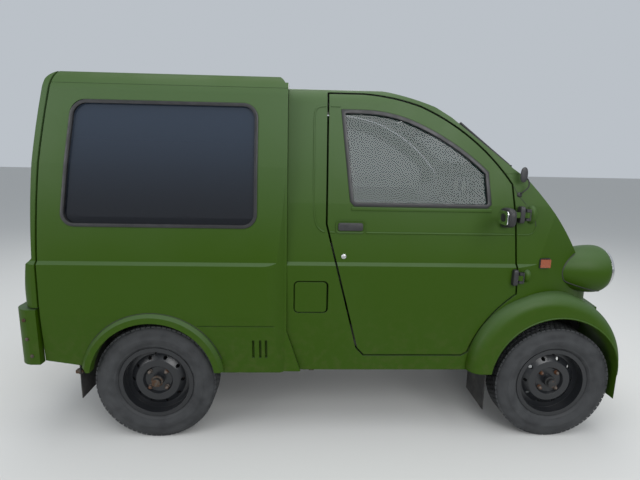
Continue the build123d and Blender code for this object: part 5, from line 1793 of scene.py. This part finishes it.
@dataclass
class DashTrim:
    """Instrument hood, dials, vents, radio, glove box seam, and the room mirror's glass."""

    wheel_y: float = -0.265
    hood: tuple[Point, Point] = ((0.668, -0.150, 1.140), (0.790, 0.150, 1.205))
    hood_edge: Flat = (0.7, 1.19)
    hood_drop: float = 0.022
    dial: Path = ((0, 0.0), (0, 0.022), (-0.003, 0.0232), (-0.003, 0.0264), (0.004, 0.0264), (0.004, 0.0))
    dial_at: Point = (0.6675, 0.055, 1.168)
    plates: tuple[tuple[Flat, Flat], ...] = (
        ((-0.09, 1.010), (0.09, 1.058)), ((0.235, 1.085), (0.345, 1.120)), ((-0.470, 1.085), (-0.420, 1.120)),
        ((0.420, 1.085), (0.480, 1.120)))
    plate_out: float = 0.006
    probe_x: float = 0.25
    lid: Path = ((0.150, 0.935), (0.150, 1.040), (0.500, 1.040), (0.500, 0.935), (0.150, 0.935))
    pane_x: float = 0.3945
    pane: tuple[Flat, Flat] = ((-0.088, 1.457), (0.088, 1.498))

    def front(self, y: float, z: float, out: float = 0.0) -> Vector:
        """Point on the dashboard's face towards the seats, moved out."""
        point, normal = touch(("dashboard",), (self.probe_x, y, z), (1, 0, 0))
        return point + normal * out

    def build(self) -> None:
        """Make the dashboard's parts."""
        y = self.wheel_y
        hood = Shape().block(*self.hood).turned(Matrix.Translation((0, y, 0)))
        for vert in hood.mesh.verts:
            if vert.co.x > self.hood_edge[0] and vert.co.z > self.hood_edge[1]:
                vert.co.z -= self.hood_drop
        hood.soften(0.018, 4, 40).finish("instrument_hood", Look.CABIN)
        dials = Shape()
        x, shift, z = self.dial_at
        for side in Side:
            dials.lathe(self.dial, (x, y + side * shift, z), steps=32)
        dials.finish("instrument_dials", Look.PALE)
        fittings = Shape()
        for low, high in self.plates:
            middle = ((low[0] + high[0]) / 2, (low[1] + high[1]) / 2)
            corners = [self.front(a, b, -0.002) for a, b in oblong(low, high)]
            fittings.plate(corners, 0.006, 4, self.front(*middle, self.plate_out) - self.front(*middle))
        fittings.finish("dash_fittings", Look.TRIM)
        wire("glove_box_seam", [self.front(a, b) for a, b in self.lid], 0.0018, Look.SEAL)
        corners = [(self.pane_x, across, z) for across, z in oblong(*self.pane)]
        Shape().plate(corners, 0.014, 6, (0.004, 0, 0)).finish("room_mirror_pane", Look.MIRROR_GLASS)


@dataclass
class DoorCard:
    """Trim panel, arm rest and window crank on the inside of a door."""

    low: Flat = (0.105, 0.640)
    high: Flat = (0.700, 1.020)
    cells: tuple[int, int] = (16, 10)
    probe_y: float = 0.30
    rest_at: Flat = (0.30, 0.800)
    rest_deep: float = 0.045
    rest: tuple[Flat, Flat] = ((0.140, 0.785), (0.430, 0.820))
    crank_at: Flat = (0.500, 0.880)
    crank_out: float = 0.026
    crank_arm: Point = (-0.090, 0, -0.030)

    def inside(self, x: float, z: float, side: Side, out: float = 0.0) -> Vector:
        """Point of the door's inner face, moved into the cab."""
        point, _ = touch((side.door,), (x, self.probe_y * side, z), (0, side, 0))
        return point - Vector((0, side * out, 0))

    def card(self, side: Side) -> None:
        """Make the trim panel, which follows the door's inner face.

        Args:
            side: Side of the truck.
        """
        card = Shape()
        columns, rows = self.cells
        (low_x, low_z), (high_x, high_z) = self.low, self.high
        grid = [[card.mesh.verts.new(self.inside(low_x + (high_x - low_x) * column / columns,
                                                 low_z + (high_z - low_z) * row / rows, side, 0.004))
                 for column in range(columns + 1)] for row in range(rows + 1)]
        faces = [card.mesh.faces.new((grid[row][column], grid[row][column + 1], grid[row + 1][column + 1],
                                      grid[row + 1][column])) for row in range(rows) for column in range(columns)]
        card.thicken(faces, (0, side * 0.005, 0))
        card.finish(f"door_card_{side.word}", Look.CABIN, side.door)

    def build(self, side: Side) -> None:
        """Dress one door's inside.

        Args:
            side: Side of the truck.
        """
        self.card(side)
        wall = self.inside(*self.rest_at, side).y
        near, far = sorted((wall, wall - side * self.rest_deep))
        (x0, low), (x1, high) = self.rest
        rest = Shape().block((x0, near, low), (x1, far, high))
        rest.soften(0.012, 4, 40).finish(f"arm_rest_{side.word}", Look.CABIN, side.door)
        root = self.inside(*self.crank_at, side)
        inwards = Vector((0, -side, 0))
        tip = root + inwards * self.crank_out
        knob = tip + Vector(self.crank_arm)
        crank = Shape().rod(root, tip, 0.014, 0.012).rod(tip, knob + inwards * 0.004, 0.0065, 0.0055)
        crank.rod(knob, knob + inwards * self.crank_out, 0.009, 0.010)
        crank.soften(0.0015, 2, 40).finish(f"window_crank_{side.word}", Look.TRIM, side.door)


@dataclass
class CabFloorTrim:
    """Gear lever, hand brake and pedals."""

    lever: tuple[Point, Point] = ((0.445, 0.0, 0.455), (0.400, 0.0, 0.700))
    brake: tuple[Point, Point] = ((0.170, 0.0, 0.605), (0.330, 0.0, 0.660))
    brake_knob: Point = (0.345, 0.0, 0.665)
    pedals: tuple[tuple[float, float, float], ...] = ((-0.180, 0.022, 0.560), (-0.275, 0.030, 0.570),
                                                      (-0.370, 0.030, 0.570))

    def build(self) -> None:
        """Make the controls on the floor."""
        foot, tip = (Vector(end) for end in self.lever)
        lever = Shape().rod(foot, tip, 0.0065, 0.0055).ball(tip, (0.019, 0.019, 0.023), 14)
        lever.rod(foot - Vector((0, 0, 0.005)), foot + Vector((-0.009, 0, 0.050)), 0.042, 0.012)
        lever.finish("gear_lever", Look.TRIM, smooth=45)
        brake = Shape().rod(*self.brake, 0.010, 0.012).rod(self.brake[1], self.brake_knob, 0.006)
        brake.block((0.120, -0.022, 0.560), (0.230, 0.022, 0.622))
        brake.soften(0.003, 2, 40).finish("hand_brake", Look.TRIM)
        pedals = Shape()
        for y, wide, z in self.pedals:
            pedals.block((0.640, y - wide, z - 0.032), (0.652, y + wide, z + 0.032))
            pedals.rod((0.648, y, z), (0.700, y, z + 0.200), 0.007)
        pedals.soften(0.0025, 2, 40).finish("pedals", Look.TRIM)


@dataclass
class Studio:
    """Camera at the photograph's place, pale floor and soft lamps."""

    camera_place: Point = (-0.1282, -2.4336, 1.2867)
    yaw: float = math.radians(2.36)
    pitch: float = math.radians(-10.63)
    roll: float = math.radians(1.14)
    sensor: float = 36.0
    lens: float = 24.17
    floor_half: float = 40.0
    floor_colour: Colour = (0.60, 0.60, 0.585)
    sky_colour: Colour = (0.80, 0.86, 0.93)
    sky_strength: float = 0.62
    lamps: tuple[tuple[str, Point, Point, float, float], ...] = (
        ("sky_lamp", (0.2, -0.6, 4.6), (0.0, 0.0, 0.6), 5.0, 130.0),
        ("key_lamp", (1.6, -4.2, 2.9), (0.1, 0.0, 0.8), 2.6, 105.0),
        ("fill_lamp", (-3.8, -3.0, 1.9), (-0.4, 0.0, 0.8), 2.4, 55.0),
        ("back_lamp", (0.0, 4.4, 2.6), (0.0, 0.0, 0.9), 3.0, 90.0))

    def build(self) -> None:
        """Make the camera, the floor, the world and the lamps."""
        forward = Vector((math.sin(self.yaw) * math.cos(self.pitch), math.cos(self.yaw) * math.cos(self.pitch),
                          math.sin(self.pitch)))
        right = forward.cross(Vector((0, 0, 1))).normalized()
        up = right.cross(forward)
        cosine, sine = math.cos(self.roll), math.sin(self.roll)
        across, rise = cosine * right + sine * up, cosine * up - sine * right
        camera = link("camera", bpy.data.cameras.new("camera"))
        camera.data.sensor_width = self.sensor
        camera.data.lens = self.lens
        turn = Matrix((across, rise, -forward)).transposed().to_4x4()
        camera.matrix_world = Matrix.Translation(self.camera_place) @ turn
        bpy.context.scene.camera = camera
        self.floor()
        self.world()
        for name, place, target, size, power in self.lamps:
            self.lamp(name, Vector(place), Vector(target), size, power)
        bpy.context.scene.view_settings.view_transform = "Standard"

    def floor(self) -> None:
        """Make the plain floor."""
        mesh = bmesh.new()
        bmesh.ops.create_grid(mesh, x_segments=1, y_segments=1, size=self.floor_half)
        data = bpy.data.meshes.new("floor")
        mesh.to_mesh(data)
        mesh.free()
        shader = Shader("floor", self.floor_colour, 0.95)
        shader.set("Specular IOR Level", 0.1)
        data.materials.append(shader.material)
        floor = link("floor", data)
        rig.stage(floor)

    def world(self) -> None:
        """Make the even pale sky."""
        world = bpy.data.worlds.new("studio")
        world.use_nodes = True
        sky = world.node_tree.nodes["Background"]
        sky.inputs["Color"].default_value = (*self.sky_colour, 1)
        sky.inputs["Strength"].default_value = self.sky_strength
        bpy.context.scene.world = world

    def lamp(self, name: str, place: Vector, target: Vector, size: float, power: float) -> None:
        """Add a soft square lamp.

        Args:
            name: Name of the lamp.
            place: Where it hangs.
            target: What it points at.
            size: Length of its side.
            power: Watts.
        """
        light = bpy.data.lights.new(name, "AREA")
        light.size = size
        light.energy = power
        turn = (target - place).to_track_quat("-Z", "Y").to_matrix().to_4x4()
        link(name, light).matrix_world = Matrix.Translation(place) @ turn


def dress_nodes() -> None:
    """Give every carried-over node the finish of its material slot."""
    for row in frame["record"]["subparts"]:
        data = frame["nodes"][row["node"]].data
        data.materials.clear()
        data.materials.append(MATERIALS[Look(row["material_slot"])])


def main() -> None:
    """Build the truck's looks in order."""
    logging.basicConfig(level=logging.INFO, format="%(message)s")
    bpy.context.view_layer.update()
    Studio().build()
    dress_nodes()
    TyreSet().build()
    for place in WHEEL_PLACES:
        WheelTrim().build(place)
    Glazing().build()
    both_sides(DoorTrim().build)
    both_sides(PressedLines().build)
    both_sides(HeadLamp().build)
    CabTrim().build()
    both_sides(Mirrors().build)
    both_sides(Hinges().build)
    Grille().build()
    CornerMirror().build()
    TailTrim().build()
    Underbody().build()
    Seats().build()
    SteeringTrim().build()
    DashTrim().build()
    both_sides(DoorCard().build)
    CabFloorTrim().build()
    with open(SIZE_FILE, "w") as sizes:
        json.dump({"cad": CAD_BOUNDS, "visual": [list(corner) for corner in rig.bounds()]}, sizes)


if __name__ == "__main__":
    main()
